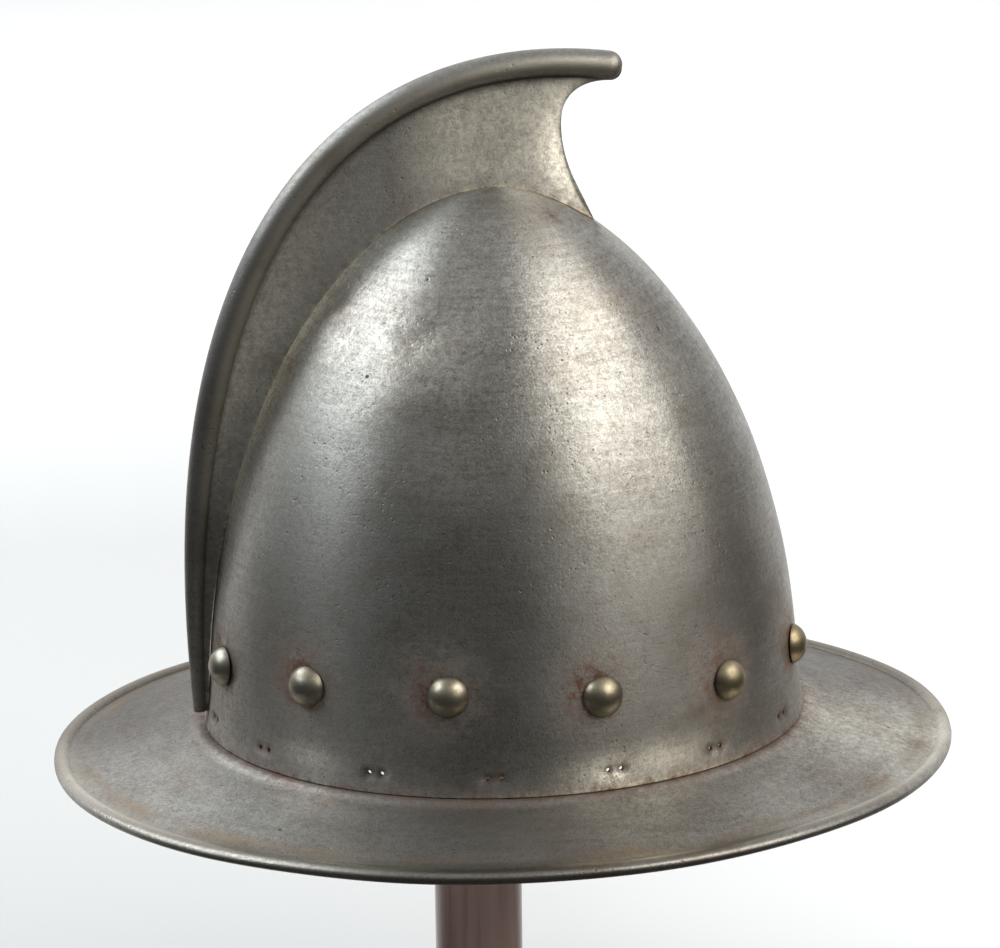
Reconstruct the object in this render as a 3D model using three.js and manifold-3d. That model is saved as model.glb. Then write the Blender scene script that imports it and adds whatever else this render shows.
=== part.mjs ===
// Cabasset helmet of raised steel with a tall rolled comb, on a plain wooden stand.
// Millimetres, +Z up, +X the way the comb's beak points, Y across the helmet.
// The origin is on the floor, under the middle of the brim.
import * as THREE from 'three';
import { mergeVertices } from 'three/addons/utils/BufferGeometryUtils.js';
import Module from 'manifold-3d';

const wasm = await Module();
wasm.setup();

// Heights are above the skull's lower edge, which is this far above the floor
const BASE_LINE = 180;

// Clearance left between neighbouring pieces
const GAP = 0.3;

// Skull, a raised bowl on an oval plan with an almond profile that is fuller at the back
const SKULL_HALF_LENGTH = 111.5;
const SKULL_HALF_WIDTH = 96;
const SKULL_HEIGHT = 200;
const SKULL_SIDE_POWER = 2.04;
const SKULL_TOP_POWER_FRONT = 1.68;
const SKULL_TOP_POWER_BACK = 1.97;
const SKULL_TOP_LIMIT = 0.9999;
const SKULL_WALL = 1.4;
const DRILL_LENGTH = 12;
const OVAL_SEGMENTS = 56;
const SKULL_ROWS_OUT = 15;
const SKULL_ROWS_IN = 10;

// Brim, a drooping oval plate with a rolled edge and a short collar inside the skull
const BRIM_HALF_LENGTH = 167;
const BRIM_HALF_WIDTH = 135;
const BRIM_DROOP = 13.5;
const BRIM_SHEET = 1.4;
const BRIM_ROLL_RADIUS = 2.9;
const BRIM_COLLAR_HEIGHT = 3.5;
const BRIM_ROLL_STEPS = 9;

// Comb, two sheets folded together over the median line of the skull
const COMB_ROLL_RADIUS_FOOT = 2.4;
const COMB_ROLL_RADIUS_BEAK = 5.2;
const COMB_ROLL_FULL_SHARE = 0.45;
const COMB_HALF_THICKNESS = 1.3;
const COMB_FLARE_HALF_WIDTH = 4;
const COMB_FLARE_POWER = 1.8;
const COMB_SHEET = 1.2;
const COMB_FOOT_HEIGHT = 4.5;
const COMB_SEAM_STATIONS = 20;
const COMB_BOW_STATIONS = 4;
const COMB_BOW_SHARE = 0.025;
const COMB_EDGE_STATIONS = 9;
const COMB_TIP_STATIONS = 3;
const COMB_SHARE_OVER_SKULL = 0.9;
const COMB_FLARE_FULL_SHARE = 0.3;
const COMB_EDGE_ROUNDING = 0.4;
const COMB_EDGE_HALF_THICKNESS = 0.6;
const COMB_EDGE_DEPTH_RATIO = 2.5;
const COMB_CHANNEL_SHARE = 0.65;
const COMB_PLATE_SHARES = [0, 0.2, 0.4, 0.65, 1];
const COMB_ROLL_SHARES = [0.2, 0.42, 0.64, 0.85];
const SEATING_STEPS = 40;

// Rolled edge's centre line, from the foot at the back up and over to the beak
const COMB_ROLL_LINE = new THREE.CubicBezierCurve(
  new THREE.Vector2(-114.8, COMB_FOOT_HEIGHT),
  new THREE.Vector2(-124.1, 222.9),
  new THREE.Vector2(-25.3, 251.4),
  new THREE.Vector2(40.9, 242),
);

// Hollow front edge, from the skull up to the underside of the beak
const COMB_FRONT_LINE = new THREE.CubicBezierCurve(
  new THREE.Vector2(35.4, 185.2),
  new THREE.Vector2(22.6, 203),
  new THREE.Vector2(12.9, 237.2),
  new THREE.Vector2(41.2, 236.4),
);

// Domed rivets, one row of the table for each side's mirrored pair.
// Bearings are degrees of the oval from the front.
const RIVETS = [
  { bearing: 19.5, height: 28 },
  { bearing: 49.5, height: 30 },
  { bearing: 78.5, height: 34 },
  { bearing: 107.5, height: 36.5 },
  { bearing: 137, height: 34.5 },
  { bearing: 166, height: 29.5 },
];
const RIVET_HEAD_RADIUS = 7.5;
const RIVET_HEAD_HEIGHT = 5;
const RIVET_SHANK_RADIUS = 2;
const RIVET_TAIL_RADIUS = 3.6;
const RIVET_TAIL_HEIGHT = 1.3;
const RIVET_TAIL_END_RADIUS = 2.9;
const RIVET_SEGMENTS = 10;
const RIVET_DOME_STEPS = 4;

// Pairs of lining holes low on the skull, mirrored from side to side
const HOLE_PAIRS = [8, 30.5, 54, 76.5, 99, 121.5, 148.5, 171].map((bearing) => ({ bearing }));
const HOLE_HEIGHT = 6.6;
const HOLE_SPACING = 5;
const HOLE_RADIUS = 0.75;
const HOLE_SIDES = 6;
const SHANK_HOLE_SIDES = 8;

// Wooden stand: foot, post and a block shaped to the inside of the crown
const POST_X = -11.2;
const POST_RADIUS = 16.7;
const POST_SEGMENTS = 32;
const SOCKET_DEPTH = 12;
const BASE_RADIUS = 95;
const BASE_HEIGHT = 22;
const BASE_ROUNDING = 6;
const BASE_ROUNDING_STEPS = 4;
const BASE_SEGMENTS = 36;
const HEAD_BLOCK_FIRST_ROW = 5;

// Materials
const steel = new THREE.MeshStandardMaterial({ color: 0x6f6d68, metalness: 1, roughness: 0.42 });
const brass = new THREE.MeshStandardMaterial({ color: 0x8d7d55, metalness: 1, roughness: 0.35 });
const wood = new THREE.MeshStandardMaterial({ color: 0x3a2721, metalness: 0, roughness: 0.5 });

// Closed meshes

// Welds a geometry's vertices, drops empty triangles and turns its faces out.
function weld(source) {
  const bare = source.index ? source.toNonIndexed() : source.clone();
  bare.deleteAttribute('normal');
  bare.deleteAttribute('uv');
  const merged = mergeVertices(bare, 1e-4);
  const position = merged.attributes.position;
  const corner = [new THREE.Vector3(), new THREE.Vector3(), new THREE.Vector3()];
  const kept = [];
  let volume = 0;
  for (let i = 0; i < merged.index.count; i += 3) {
    const ids = [0, 1, 2].map((k) => merged.index.getX(i + k));
    if (new Set(ids).size < 3) continue;
    ids.forEach((id, k) => corner[k].fromBufferAttribute(position, id));
    volume += corner[0].dot(corner[1].clone().cross(corner[2]));
    kept.push(ids);
  }
  const faces = volume < 0 ? kept.map(([a, b, c]) => [a, c, b]) : kept;
  merged.setIndex(faces.flat());
  return merged;
}

function toSolid(geometry) {
  const closed = weld(geometry);
  const vertProperties = new Float32Array(closed.attributes.position.array);
  const triVerts = new Uint32Array(closed.index.array);
  return new wasm.Manifold(new wasm.Mesh({ numProp: 3, vertProperties, triVerts }));
}

function toGeometry(solid) {
  const mesh = solid.getMesh();
  const geometry = new THREE.BufferGeometry();
  geometry.setAttribute('position', new THREE.BufferAttribute(mesh.vertProperties, 3));
  geometry.setIndex(new THREE.BufferAttribute(mesh.triVerts, 1));
  return geometry;
}

// Turns a half profile of [radius, height] about the vertical axis.
function turn(profile, segments) {
  const points = profile.map(([radius, height]) => new THREE.Vector2(radius, height));
  return new THREE.LatheGeometry(points, segments).rotateX(Math.PI / 2);
}

// Joins a row of closed sections, each with as many points, and closes each end to a point.
function loft(sections, firstPoint, lastPoint) {
  const positions = [];
  const push = (...points) => points.forEach((p) => positions.push(p.x, p.y, p.z));
  const count = sections[0].length;
  for (let k = 0; k < count; k += 1) {
    const next = (k + 1) % count;
    push(sections[0][next], sections[0][k], firstPoint);
    for (let i = 0; i + 1 < sections.length; i += 1) {
      const [low, high] = [sections[i], sections[i + 1]];
      push(low[k], low[next], high[next], low[k], high[next], high[k]);
    }
    push(sections.at(-1)[k], sections.at(-1)[next], lastPoint);
  }
  const geometry = new THREE.BufferGeometry();
  geometry.setAttribute('position', new THREE.Float32BufferAttribute(positions, 3));
  return geometry;
}

// Skull

// Share of the base oval that is left at a height of the front profile, for a bowl of the given full height.
function bowlShare(height, fullHeight) {
  const rise = THREE.MathUtils.clamp(height / fullHeight, 0, 1);
  return (1 - rise ** SKULL_SIDE_POWER) ** (1 / SKULL_TOP_POWER_FRONT);
}

// How many times wider than its front profile the bowl is, at a height and a bearing in radians.
function fullness(height, angle) {
  const rise = THREE.MathUtils.clamp(height / SKULL_HEIGHT, 0, SKULL_TOP_LIMIT);
  const power = THREE.MathUtils.lerp(SKULL_TOP_POWER_BACK, SKULL_TOP_POWER_FRONT, (1 + Math.cos(angle)) / 2);
  return (1 - rise ** SKULL_SIDE_POWER) ** (1 / power - 1 / SKULL_TOP_POWER_FRONT);
}

// Brings a turned bowl to the skull's plan: fuller at the back, and narrower than it is long.
function toSkullPlan(geometry) {
  const position = geometry.attributes.position;
  for (let i = 0; i < position.count; i += 1) {
    const [x, y] = [position.getX(i), position.getY(i)];
    const wider = fullness(position.getZ(i), Math.atan2(y, x));
    position.setXY(i, x * wider, y * wider * SKULL_HALF_WIDTH / SKULL_HALF_LENGTH);
  }
  return geometry;
}

// Half profile of a bowl from its edge up to its top, with rows closer together near the top.
function bowlProfile(halfLength, fullHeight, rows) {
  const points = [];
  for (let i = 0; i <= rows; i += 1) {
    const height = fullHeight * Math.sin((i / rows) * Math.PI / 2);
    points.push([i === rows ? 0 : halfLength * bowlShare(height, fullHeight), height]);
  }
  return points;
}

function insideProfile() {
  return bowlProfile(SKULL_HALF_LENGTH - SKULL_WALL, SKULL_HEIGHT - SKULL_WALL, SKULL_ROWS_IN);
}

// Point on the skull's outside at a bearing of the oval, and the direction out of it.
function onSkull(bearing, height) {
  const angle = THREE.MathUtils.degToRad(bearing);
  const at = (turnBy, rise) => {
    const share = bowlShare(height + rise, SKULL_HEIGHT) * fullness(height + rise, angle + turnBy);
    const x = SKULL_HALF_LENGTH * share * Math.cos(angle + turnBy);
    const y = SKULL_HALF_WIDTH * share * Math.sin(angle + turnBy);
    return new THREE.Vector3(x, y, height + rise);
  };
  const step = 0.01;
  const point = at(0, 0);
  const around = at(step, 0).sub(point);
  const upward = at(0, step).sub(point);
  return { point, outward: around.cross(upward).normalize() };
}

// Sets a piece that was made along +Z to stand on the skull at a bearing and height.
function standOnSkull(geometry, bearing, height) {
  const { point, outward } = onSkull(bearing, height);
  const turned = new THREE.Quaternion().setFromUnitVectors(new THREE.Vector3(0, 0, 1), outward);
  return geometry.applyQuaternion(turned).translate(point.x, point.y, point.z);
}

function drill(radius, sides, bearing, height) {
  const bit = new THREE.CylinderGeometry(radius, radius, DRILL_LENGTH, sides).rotateX(Math.PI / 2);
  return toSolid(standOnSkull(bit, bearing, height));
}

// Rows of a table for the right side of the helmet, followed by their mirror images on the left.
function bothSides(rows) {
  const right = rows.map((row) => ({ ...row, bearing: -row.bearing }));
  return [...right, ...rows.slice().reverse()];
}

function makeSkull() {
  const outside = bowlProfile(SKULL_HALF_LENGTH, SKULL_HEIGHT, SKULL_ROWS_OUT);
  const shell = turn([...insideProfile().reverse(), ...outside], OVAL_SEGMENTS);
  let solid = toSolid(toSkullPlan(shell));
  for (const { bearing, height } of bothSides(RIVETS)) {
    solid = solid.subtract(drill(RIVET_SHANK_RADIUS + GAP, SHANK_HOLE_SIDES, bearing, height));
  }
  const spread = THREE.MathUtils.radToDeg(HOLE_SPACING / 2 / SKULL_HALF_LENGTH);
  for (const { bearing } of bothSides(HOLE_PAIRS)) {
    for (const place of [bearing - spread, bearing + spread]) {
      solid = solid.subtract(drill(HOLE_RADIUS, HOLE_SIDES, place, HOLE_HEIGHT));
    }
  }
  return toGeometry(solid);
}

// Brim

// Half width of the brim's oval whose half length is given. The rolled edge keeps its round section.
function brimHalfWidth(halfLength) {
  if (halfLength <= SKULL_HALF_LENGTH) return halfLength * SKULL_HALF_WIDTH / SKULL_HALF_LENGTH;
  const rollStart = BRIM_HALF_LENGTH - BRIM_ROLL_RADIUS;
  if (halfLength >= rollStart) return BRIM_HALF_WIDTH + halfLength - BRIM_HALF_LENGTH;
  const share = (halfLength - SKULL_HALF_LENGTH) / (rollStart - SKULL_HALF_LENGTH);
  return THREE.MathUtils.lerp(SKULL_HALF_WIDTH, BRIM_HALF_WIDTH - BRIM_ROLL_RADIUS, share);
}

function makeBrim() {
  const collarOut = SKULL_HALF_LENGTH - SKULL_WALL - 2 * GAP;
  const collarIn = collarOut - BRIM_SHEET;
  const slope = Math.atan2(BRIM_DROOP, BRIM_HALF_LENGTH - SKULL_HALF_LENGTH);
  const grip = Math.asin(BRIM_SHEET / 2 / BRIM_ROLL_RADIUS);
  const inward = Math.PI - slope;
  const profile = [[collarIn, BRIM_COLLAR_HEIGHT], [collarIn, -GAP - BRIM_SHEET]];
  profile.push([SKULL_HALF_LENGTH, -GAP - BRIM_SHEET]);
  for (let i = 0; i <= BRIM_ROLL_STEPS; i += 1) {
    const sweep = inward + grip + (i / BRIM_ROLL_STEPS) * 2 * (Math.PI - grip);
    const across = BRIM_HALF_LENGTH + BRIM_ROLL_RADIUS * Math.cos(sweep);
    profile.push([across, -BRIM_DROOP + BRIM_ROLL_RADIUS * Math.sin(sweep)]);
  }
  profile.push([SKULL_HALF_LENGTH, -GAP], [collarOut, -GAP], [collarOut, BRIM_COLLAR_HEIGHT], profile[0]);
  const geometry = turn(profile, OVAL_SEGMENTS);
  const position = geometry.attributes.position;
  for (let i = 0; i < position.count; i += 1) {
    const halfLength = Math.hypot(position.getX(i), position.getY(i));
    position.setY(i, position.getY(i) * brimHalfWidth(halfLength) / halfLength);
  }
  return weld(geometry);
}

// Comb

// How far outside the skull, with its clearance, a point lies: below zero inside it.
function outsideSkull(point) {
  const along = point.x / (SKULL_HALF_LENGTH + GAP);
  const across = point.y / (SKULL_HALF_WIDTH + GAP);
  const share = bowlShare(point.z, SKULL_HEIGHT + GAP) * fullness(point.z, Math.atan2(across, along));
  return Math.hypot(along, across) - share;
}

// Slides a point back along a direction until it sits on the skull.
function seatOnSkull(point, direction) {
  let [near, far] = [-COMB_FLARE_HALF_WIDTH, COMB_FLARE_HALF_WIDTH];
  for (let i = 0; i < SEATING_STEPS; i += 1) {
    const middle = (near + far) / 2;
    const probe = point.clone().addScaledVector(direction, middle);
    if (outsideSkull(probe) > 0) far = middle;
    else near = middle;
  }
  return point.clone().addScaledVector(direction, far);
}

// Point of the skull's median profile, from its back edge at 0 over the top to its front edge at a half turn.
function onMedianLine(angle) {
  const forward = -Math.cos(angle);
  const power = forward > 0 ? SKULL_TOP_POWER_FRONT : SKULL_TOP_POWER_BACK;
  const along = Math.sign(forward) * Math.abs(forward) ** (2 / power);
  const up = Math.sin(angle) ** (2 / SKULL_SIDE_POWER);
  return new THREE.Vector2(SKULL_HALF_LENGTH * along, SKULL_HEIGHT * up);
}

// How far a point of the median plane lies behind the comb's front edge.
const frontEdge = COMB_FRONT_LINE.getSpacedPoints(SEATING_STEPS);
function behindFrontEdge(point) {
  return Math.min(...frontEdge.map((edgePoint) => edgePoint.distanceTo(point)));
}

// Half the comb's thickness where its two sheets spread from the roll toward the skull.
// The sheets round in to a thin keel at the front edge.
function combHalfThickness(point, flare, climbed) {
  const body = COMB_HALF_THICKNESS + flare * (1 - Math.min(climbed, 1)) ** COMB_FLARE_POWER;
  const inward = Math.min(behindFrontEdge(point) / (COMB_EDGE_DEPTH_RATIO * body), 1);
  return THREE.MathUtils.lerp(COMB_EDGE_HALF_THICKNESS, body, Math.sqrt(1 - (1 - inward) ** 2));
}

// One closed section of the comb, from its lower edge up to its rolled edge.
// A seated section stands on the skull, and any other ends in the rounded front edge.
function combSection(lower, roll, flare, seated) {
  const lean = roll.centre.clone().sub(lower);
  const height = lean.length();
  lean.normalize();
  const up = new THREE.Vector3(lean.x, 0, lean.y);
  const at = (rise, y) => new THREE.Vector3(lower.x + lean.x * rise, y, lower.y + lean.y * rise);
  const halfAt = (rise) => {
    const point = lower.clone().addScaledVector(lean, rise);
    return combHalfThickness(point, flare, rise / height);
  };
  const foot = (y) => (seated ? seatOnSkull(at(0, y), up) : at(COMB_EDGE_ROUNDING * y, y));
  const footHalf = halfAt(0);
  const side = [foot(Math.max(footHalf - COMB_SHEET, footHalf / 2)), foot(footHalf)];
  const plateStart = Math.max(COMB_EDGE_ROUNDING * footHalf, 2 * GAP);
  const plateEnd = Math.max(height - roll.radius / lean.dot(roll.outward), plateStart + GAP);
  for (const share of COMB_PLATE_SHARES) {
    const rise = THREE.MathUtils.lerp(plateStart, plateEnd, share);
    side.push(at(rise, halfAt(rise)));
  }
  const onRoll = (sweep) => {
    const point = roll.centre.clone().addScaledVector(roll.outward, -roll.radius * Math.cos(sweep));
    return new THREE.Vector3(point.x, roll.radius * Math.sin(sweep), point.y);
  };
  const grip = Math.asin(COMB_HALF_THICKNESS / roll.radius);
  for (const share of COMB_ROLL_SHARES) {
    side.push(onRoll(THREE.MathUtils.lerp(grip, Math.PI, share)));
  }
  const mirrored = side.map((p) => new THREE.Vector3(p.x, -p.y, p.z)).reverse();
  const spread = Math.max(footHalf - COMB_HALF_THICKNESS, 0) / (COMB_FLARE_HALF_WIDTH - COMB_HALF_THICKNESS);
  const channel = seated ? COMB_CHANNEL_SHARE * height * spread : 0;
  const crease = foot(0).addScaledVector(up, channel);
  return [crease, ...side, onRoll(Math.PI), ...mirrored];
}

function makeComb() {
  const sections = [];
  const frontFoot = COMB_FRONT_LINE.v0.x / SKULL_HALF_LENGTH;
  const lastAngle = Math.PI - Math.acos(frontFoot ** (SKULL_TOP_POWER_FRONT / 2));
  const firstAngle = Math.asin((COMB_FOOT_HEIGHT / SKULL_HEIGHT) ** (SKULL_SIDE_POWER / 2));
  const rollRadius = (share) => {
    const swelling = Math.sin(Math.min(share / COMB_ROLL_FULL_SHARE, 1) * Math.PI / 2);
    return THREE.MathUtils.lerp(COMB_ROLL_RADIUS_FOOT, COMB_ROLL_RADIUS_BEAK, swelling);
  };
  const fullFlare = COMB_FLARE_HALF_WIDTH - COMB_HALF_THICKNESS;
  const addSection = (lower, rollShare, flare, seated) => {
    const tangent = COMB_ROLL_LINE.getTangentAt(rollShare);
    const roll = {
      centre: COMB_ROLL_LINE.getPointAt(rollShare),
      outward: new THREE.Vector2(-tangent.y, tangent.x),
      radius: rollRadius(rollShare),
    };
    sections.push(combSection(lower, roll, flare, seated));
  };
  const seamShares = [];
  for (let i = 0; i <= COMB_SEAM_STATIONS; i += 1) {
    seamShares.push((i / COMB_SEAM_STATIONS) * (1 - COMB_BOW_SHARE));
  }
  for (let i = 1; i <= COMB_BOW_STATIONS; i += 1) {
    const closing = 1 - Math.sin((i / COMB_BOW_STATIONS) * Math.PI / 2);
    seamShares.push(1 - COMB_BOW_SHARE * closing);
  }
  for (const share of seamShares) {
    const lower = onMedianLine(THREE.MathUtils.lerp(firstAngle, lastAngle, share));
    const flare = fullFlare * THREE.MathUtils.smoothstep(share, 0, COMB_FLARE_FULL_SHARE);
    addSection(lower, COMB_SHARE_OVER_SKULL * share, flare, true);
  }
  for (let i = 1; i <= COMB_EDGE_STATIONS; i += 1) {
    const share = i / COMB_EDGE_STATIONS;
    const flare = fullFlare * (1 - share) ** COMB_FLARE_POWER;
    const rollShare = THREE.MathUtils.lerp(COMB_SHARE_OVER_SKULL, 1, share);
    addSection(COMB_FRONT_LINE.getPointAt(share), rollShare, flare, false);
  }
  const inXZ = (point) => new THREE.Vector3(point.x, 0, point.y);
  const beak = inXZ(COMB_ROLL_LINE.getPointAt(1));
  const ahead = inXZ(COMB_ROLL_LINE.getTangentAt(1));
  const beakEdge = sections.at(-1);
  for (let i = 1; i < COMB_TIP_STATIONS; i += 1) {
    const angle = (i / COMB_TIP_STATIONS) * Math.PI / 2;
    const centre = beak.clone().addScaledVector(ahead, COMB_ROLL_RADIUS_BEAK * Math.sin(angle));
    sections.push(beakEdge.map((p) => p.clone().sub(beak).multiplyScalar(Math.cos(angle)).add(centre)));
  }
  const tip = beak.clone().addScaledVector(ahead, COMB_ROLL_RADIUS_BEAK);
  return weld(loft(sections, inXZ(COMB_ROLL_LINE.v0), tip));
}

// Rivets

// Dome outside the skull, shank through the wall and a peened tail inside.
function makeRivet(bearing, height) {
  const sphere = (RIVET_HEAD_RADIUS ** 2 + RIVET_HEAD_HEIGHT ** 2) / (2 * RIVET_HEAD_HEIGHT);
  const widest = Math.asin(Math.min(RIVET_HEAD_RADIUS / sphere, 1));
  const tailTop = -SKULL_WALL - 1.5 * GAP;
  const profile = [[0, tailTop - RIVET_TAIL_HEIGHT], [RIVET_TAIL_END_RADIUS, tailTop - RIVET_TAIL_HEIGHT]];
  profile.push([RIVET_TAIL_RADIUS, tailTop], [RIVET_SHANK_RADIUS, tailTop], [RIVET_SHANK_RADIUS, GAP]);
  for (let i = 0; i <= RIVET_DOME_STEPS; i += 1) {
    const angle = widest * (1 - i / RIVET_DOME_STEPS);
    const rise = sphere * Math.cos(angle) - (sphere - RIVET_HEAD_HEIGHT);
    profile.push([i === RIVET_DOME_STEPS ? 0 : sphere * Math.sin(angle), GAP + rise]);
  }
  return weld(standOnSkull(turn(profile, RIVET_SEGMENTS), bearing, height));
}

// Stand

// The block under the crown follows the skull's inside from one of its rows up.
const headBlockProfile = insideProfile().slice(HEAD_BLOCK_FIRST_ROW);
const headBlockBottom = headBlockProfile[0][1] - GAP;

function makePost() {
  const bottom = BASE_HEIGHT - SOCKET_DEPTH + GAP - BASE_LINE;
  const top = headBlockBottom + SOCKET_DEPTH - GAP;
  const profile = [[0, bottom], [POST_RADIUS, bottom], [POST_RADIUS, top], [0, top]];
  return weld(turn(profile, POST_SEGMENTS).translate(POST_X, 0, 0));
}

function makeHeadBlock() {
  const crown = headBlockProfile.map(([radius, height]) => [Math.max(radius - 2 * GAP, 0), height - GAP]);
  const block = toSkullPlan(turn([[0, headBlockBottom], ...crown], OVAL_SEGMENTS));
  const socketRadius = POST_RADIUS + GAP;
  const socket = new THREE.CylinderGeometry(socketRadius, socketRadius, 2 * SOCKET_DEPTH, POST_SEGMENTS);
  socket.rotateX(Math.PI / 2).translate(POST_X, 0, headBlockBottom);
  return toGeometry(toSolid(block).subtract(toSolid(socket)));
}

function makeBase() {
  const socketRadius = POST_RADIUS + GAP;
  const socketFloor = BASE_HEIGHT - SOCKET_DEPTH;
  const profile = [[0, 0], [BASE_RADIUS, 0]];
  for (let i = 0; i <= BASE_ROUNDING_STEPS; i += 1) {
    const angle = (i / BASE_ROUNDING_STEPS) * Math.PI / 2;
    const inset = BASE_ROUNDING * (1 - Math.cos(angle));
    profile.push([BASE_RADIUS - inset, BASE_HEIGHT - BASE_ROUNDING * (1 - Math.sin(angle))]);
  }
  profile.push([socketRadius, BASE_HEIGHT], [socketRadius, socketFloor], [0, socketFloor]);
  return weld(turn(profile, BASE_SEGMENTS).translate(POST_X, 0, -BASE_LINE));
}

// Assembly

const helmetOnStand = new THREE.Group();
helmetOnStand.position.z = BASE_LINE;

function place(name, geometry, material) {
  const mesh = new THREE.Mesh(geometry, material);
  mesh.name = name;
  helmetOnStand.add(mesh);
}

place('skull', makeSkull(), steel);
place('brim', makeBrim(), steel);
place('comb', makeComb(), steel);
bothSides(RIVETS).forEach(({ bearing, height }, i) => {
  place(`rivet_${String(i + 1).padStart(2, '0')}`, makeRivet(bearing, height), brass);
});
place('stand_post', makePost(), wood);
place('stand_head', makeHeadBlock(), wood);
place('stand_base', makeBase(), wood);

export default helmetOnStand;
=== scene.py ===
# Cabasset helmet of aged steel on a wooden stand: detailed surfaces, materials, light and camera.
# Shapes are worked out in millimetres, with heights above the skull's lower edge.
import math

import bpy
import numpy as np
from mathutils import Matrix, Vector


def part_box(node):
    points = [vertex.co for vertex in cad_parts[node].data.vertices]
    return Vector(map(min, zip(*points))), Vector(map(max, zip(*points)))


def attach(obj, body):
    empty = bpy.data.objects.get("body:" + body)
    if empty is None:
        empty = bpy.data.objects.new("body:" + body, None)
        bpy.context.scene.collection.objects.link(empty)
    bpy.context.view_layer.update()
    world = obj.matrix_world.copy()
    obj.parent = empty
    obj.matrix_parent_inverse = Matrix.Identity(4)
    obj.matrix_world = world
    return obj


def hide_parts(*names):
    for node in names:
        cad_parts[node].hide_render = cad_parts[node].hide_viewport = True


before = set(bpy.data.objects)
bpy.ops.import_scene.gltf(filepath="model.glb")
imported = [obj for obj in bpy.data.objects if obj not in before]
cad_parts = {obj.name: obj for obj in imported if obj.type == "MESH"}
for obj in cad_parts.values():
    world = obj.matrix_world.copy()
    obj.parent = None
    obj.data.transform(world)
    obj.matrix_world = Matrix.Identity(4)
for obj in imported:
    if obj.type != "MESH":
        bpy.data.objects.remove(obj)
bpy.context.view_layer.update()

MM = 0.001


def table(names, *rows):
    """Rows of values as records with the names of their columns."""
    return [dict(zip(names.split(), row)) for row in rows]



# Sizes taken from the CAD part
skull_low, skull_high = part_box("skull")
_, brim_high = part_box("brim")
base_low, base_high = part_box("stand_base")
post_low, post_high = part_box("stand_post")
BASE_LINE = skull_low.z / MM
SKULL_HALF_LENGTH = skull_high.x / MM
SKULL_HALF_WIDTH = skull_high.y / MM
SKULL_HEIGHT = skull_high.z / MM - BASE_LINE
BRIM_ROLL_RADIUS = 2.9
BRIM_HALF_LENGTH = brim_high.x / MM - BRIM_ROLL_RADIUS
BRIM_HALF_WIDTH = brim_high.y / MM - BRIM_ROLL_RADIUS

# Skull
SKULL_SIDE_POWER = 2.04
SKULL_TOP_POWER_FRONT = 1.68
SKULL_TOP_POWER_BACK = 1.97
SKULL_TOP_LIMIT = 0.9999
SKULL_WALL = 1.4
SKULL_COLUMNS = 480
SKULL_LIP_TOP = 14
SKULL_LIP_STEP = 0.8
SKULL_CROWN_START = 172
SKULL_SIDE_STEP = 2.0
SKULL_CROWN_ROWS = 24
WAVINESS = 0.13
WAVE_LENGTH = 46.0
LIP_FLARE = 3.0
LIP_HEIGHT = 9.0
WAIST_DEPTH = 1.2
WAIST_HEIGHT = 30.0
DENT_REACH = 60.0

# Where the skull gets painted highlights, or is grimy, rusty or brown. Pairs of lists give places and the
# amounts there.
FILLET_WIDTH = 10.0
FILLET_LEAN = 0.38
FILLET_SKIN = 0.008
# Painted highlight along the back of the comb's seam
SEAM_HIGHLIGHT = 0.9
SEAM_HIGHLIGHT_ALONG = ([-70, -25], [1, 0])
SEAM_HIGHLIGHT_UP = ([50, 90], [0, 1])
SEAM_GRIME = 0.9
SEAM_GRIME_WIDTH = 1.0
SEAM_GRIME_ALONG = ([-60, -20], [1, 0])
SEAM_RUST = 0.3
SEAM_RUST_WIDTH = 2.2
SEAM_RUST_AHEAD = 4.0
SEAM_RUST_LOWEST = 30.0
EDGE_RUST = 1.1
EDGE_RUST_HEIGHT = 3.0
HALO_RUST = 1.5
HALO_RADIUS = 13.5
HALO_TURN = 2.2
HALO_RISE = 2.0
HOLE_RUST_RADIUS = 2.4
LIP_WEAR = 0.6
LIP_WEAR_BEARING = -72.0
LIP_WEAR_SPREAD = 26.0
LIP_WEAR_HEIGHT = 2.0
BROWN_BEARING = 34.0
BROWN_SPREAD = 26.0
BROWN_UP = ([20, 60, 130], [0.3, 0.5, 0])
PATCH_REACH = 90.0

# Dents beaten into the skull. Lengths run round the oval before they are turned, depths go inward.
DENTS = table(
    "bearing height length width turned depth",
    (-154.5, 161.0, 15.0, 4.0, 28.0, -0.42),
    (-151.0, 154.9, 12.0, 6.0, 24.0, 0.65),
    (-124.2, 154.9, 7.5, 3.2, -22.0, 0.55),
    (-118.0, 159.0, 6.0, 4.0, 35.0, 0.35),
    (-137.5, 119.8, 9.0, 6.0, 0.0, 0.16),
    (-38.9, 152.5, 3.0, 2.0, 10.0, 0.25),
    (-14.5, 138.2, 4.5, 3.5, 0.0, 0.45),
    (-59.0, 114.2, 12.0, 14.0, 0.0, 0.22),
)

# Small dark marks: pits and scratches seen on the skull
SKULL_MARKS = table(
    "bearing height radius",
    (-134.4, 142.9, 0.9),
    (-149.8, 153.7, 0.8),
    (-148.7, 155.0, 0.8),
    (-38.9, 152.5, 1.1),
    (-125.2, 174.5, 0.8),
)

# Patches of the skull with painted highlights, and one with painted shade
PATCH_COLUMNS = "bearing height length width amount"
SKULL_HIGHLIGHT_PATCHES = table(
    PATCH_COLUMNS,
    (-66.0, 8.5, 16.0, 5.5, 1.0),
    (-78.0, 7.0, 14.0, 6.0, 1.1),
    (-136.0, 8.6, 12.0, 4.5, 0.6),
    (-117.0, 150.0, 20.0, 22.0, 0.5),
    (-106.0, 118.0, 16.0, 18.0, 0.3),
    (-152.0, 156.0, 14.0, 16.0, 0.22),
)
SKULL_SHADE_PATCHES = table(PATCH_COLUMNS, (-152.0, 38.0, 32.0, 44.0, 0.5))

# Rusty stains seen on the skull, beside those round the rivets
SKULL_STAINS = table("bearing height radius", (-124.9, 155.5, 2.6), (-52.3, 191.6, 4.5))

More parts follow.
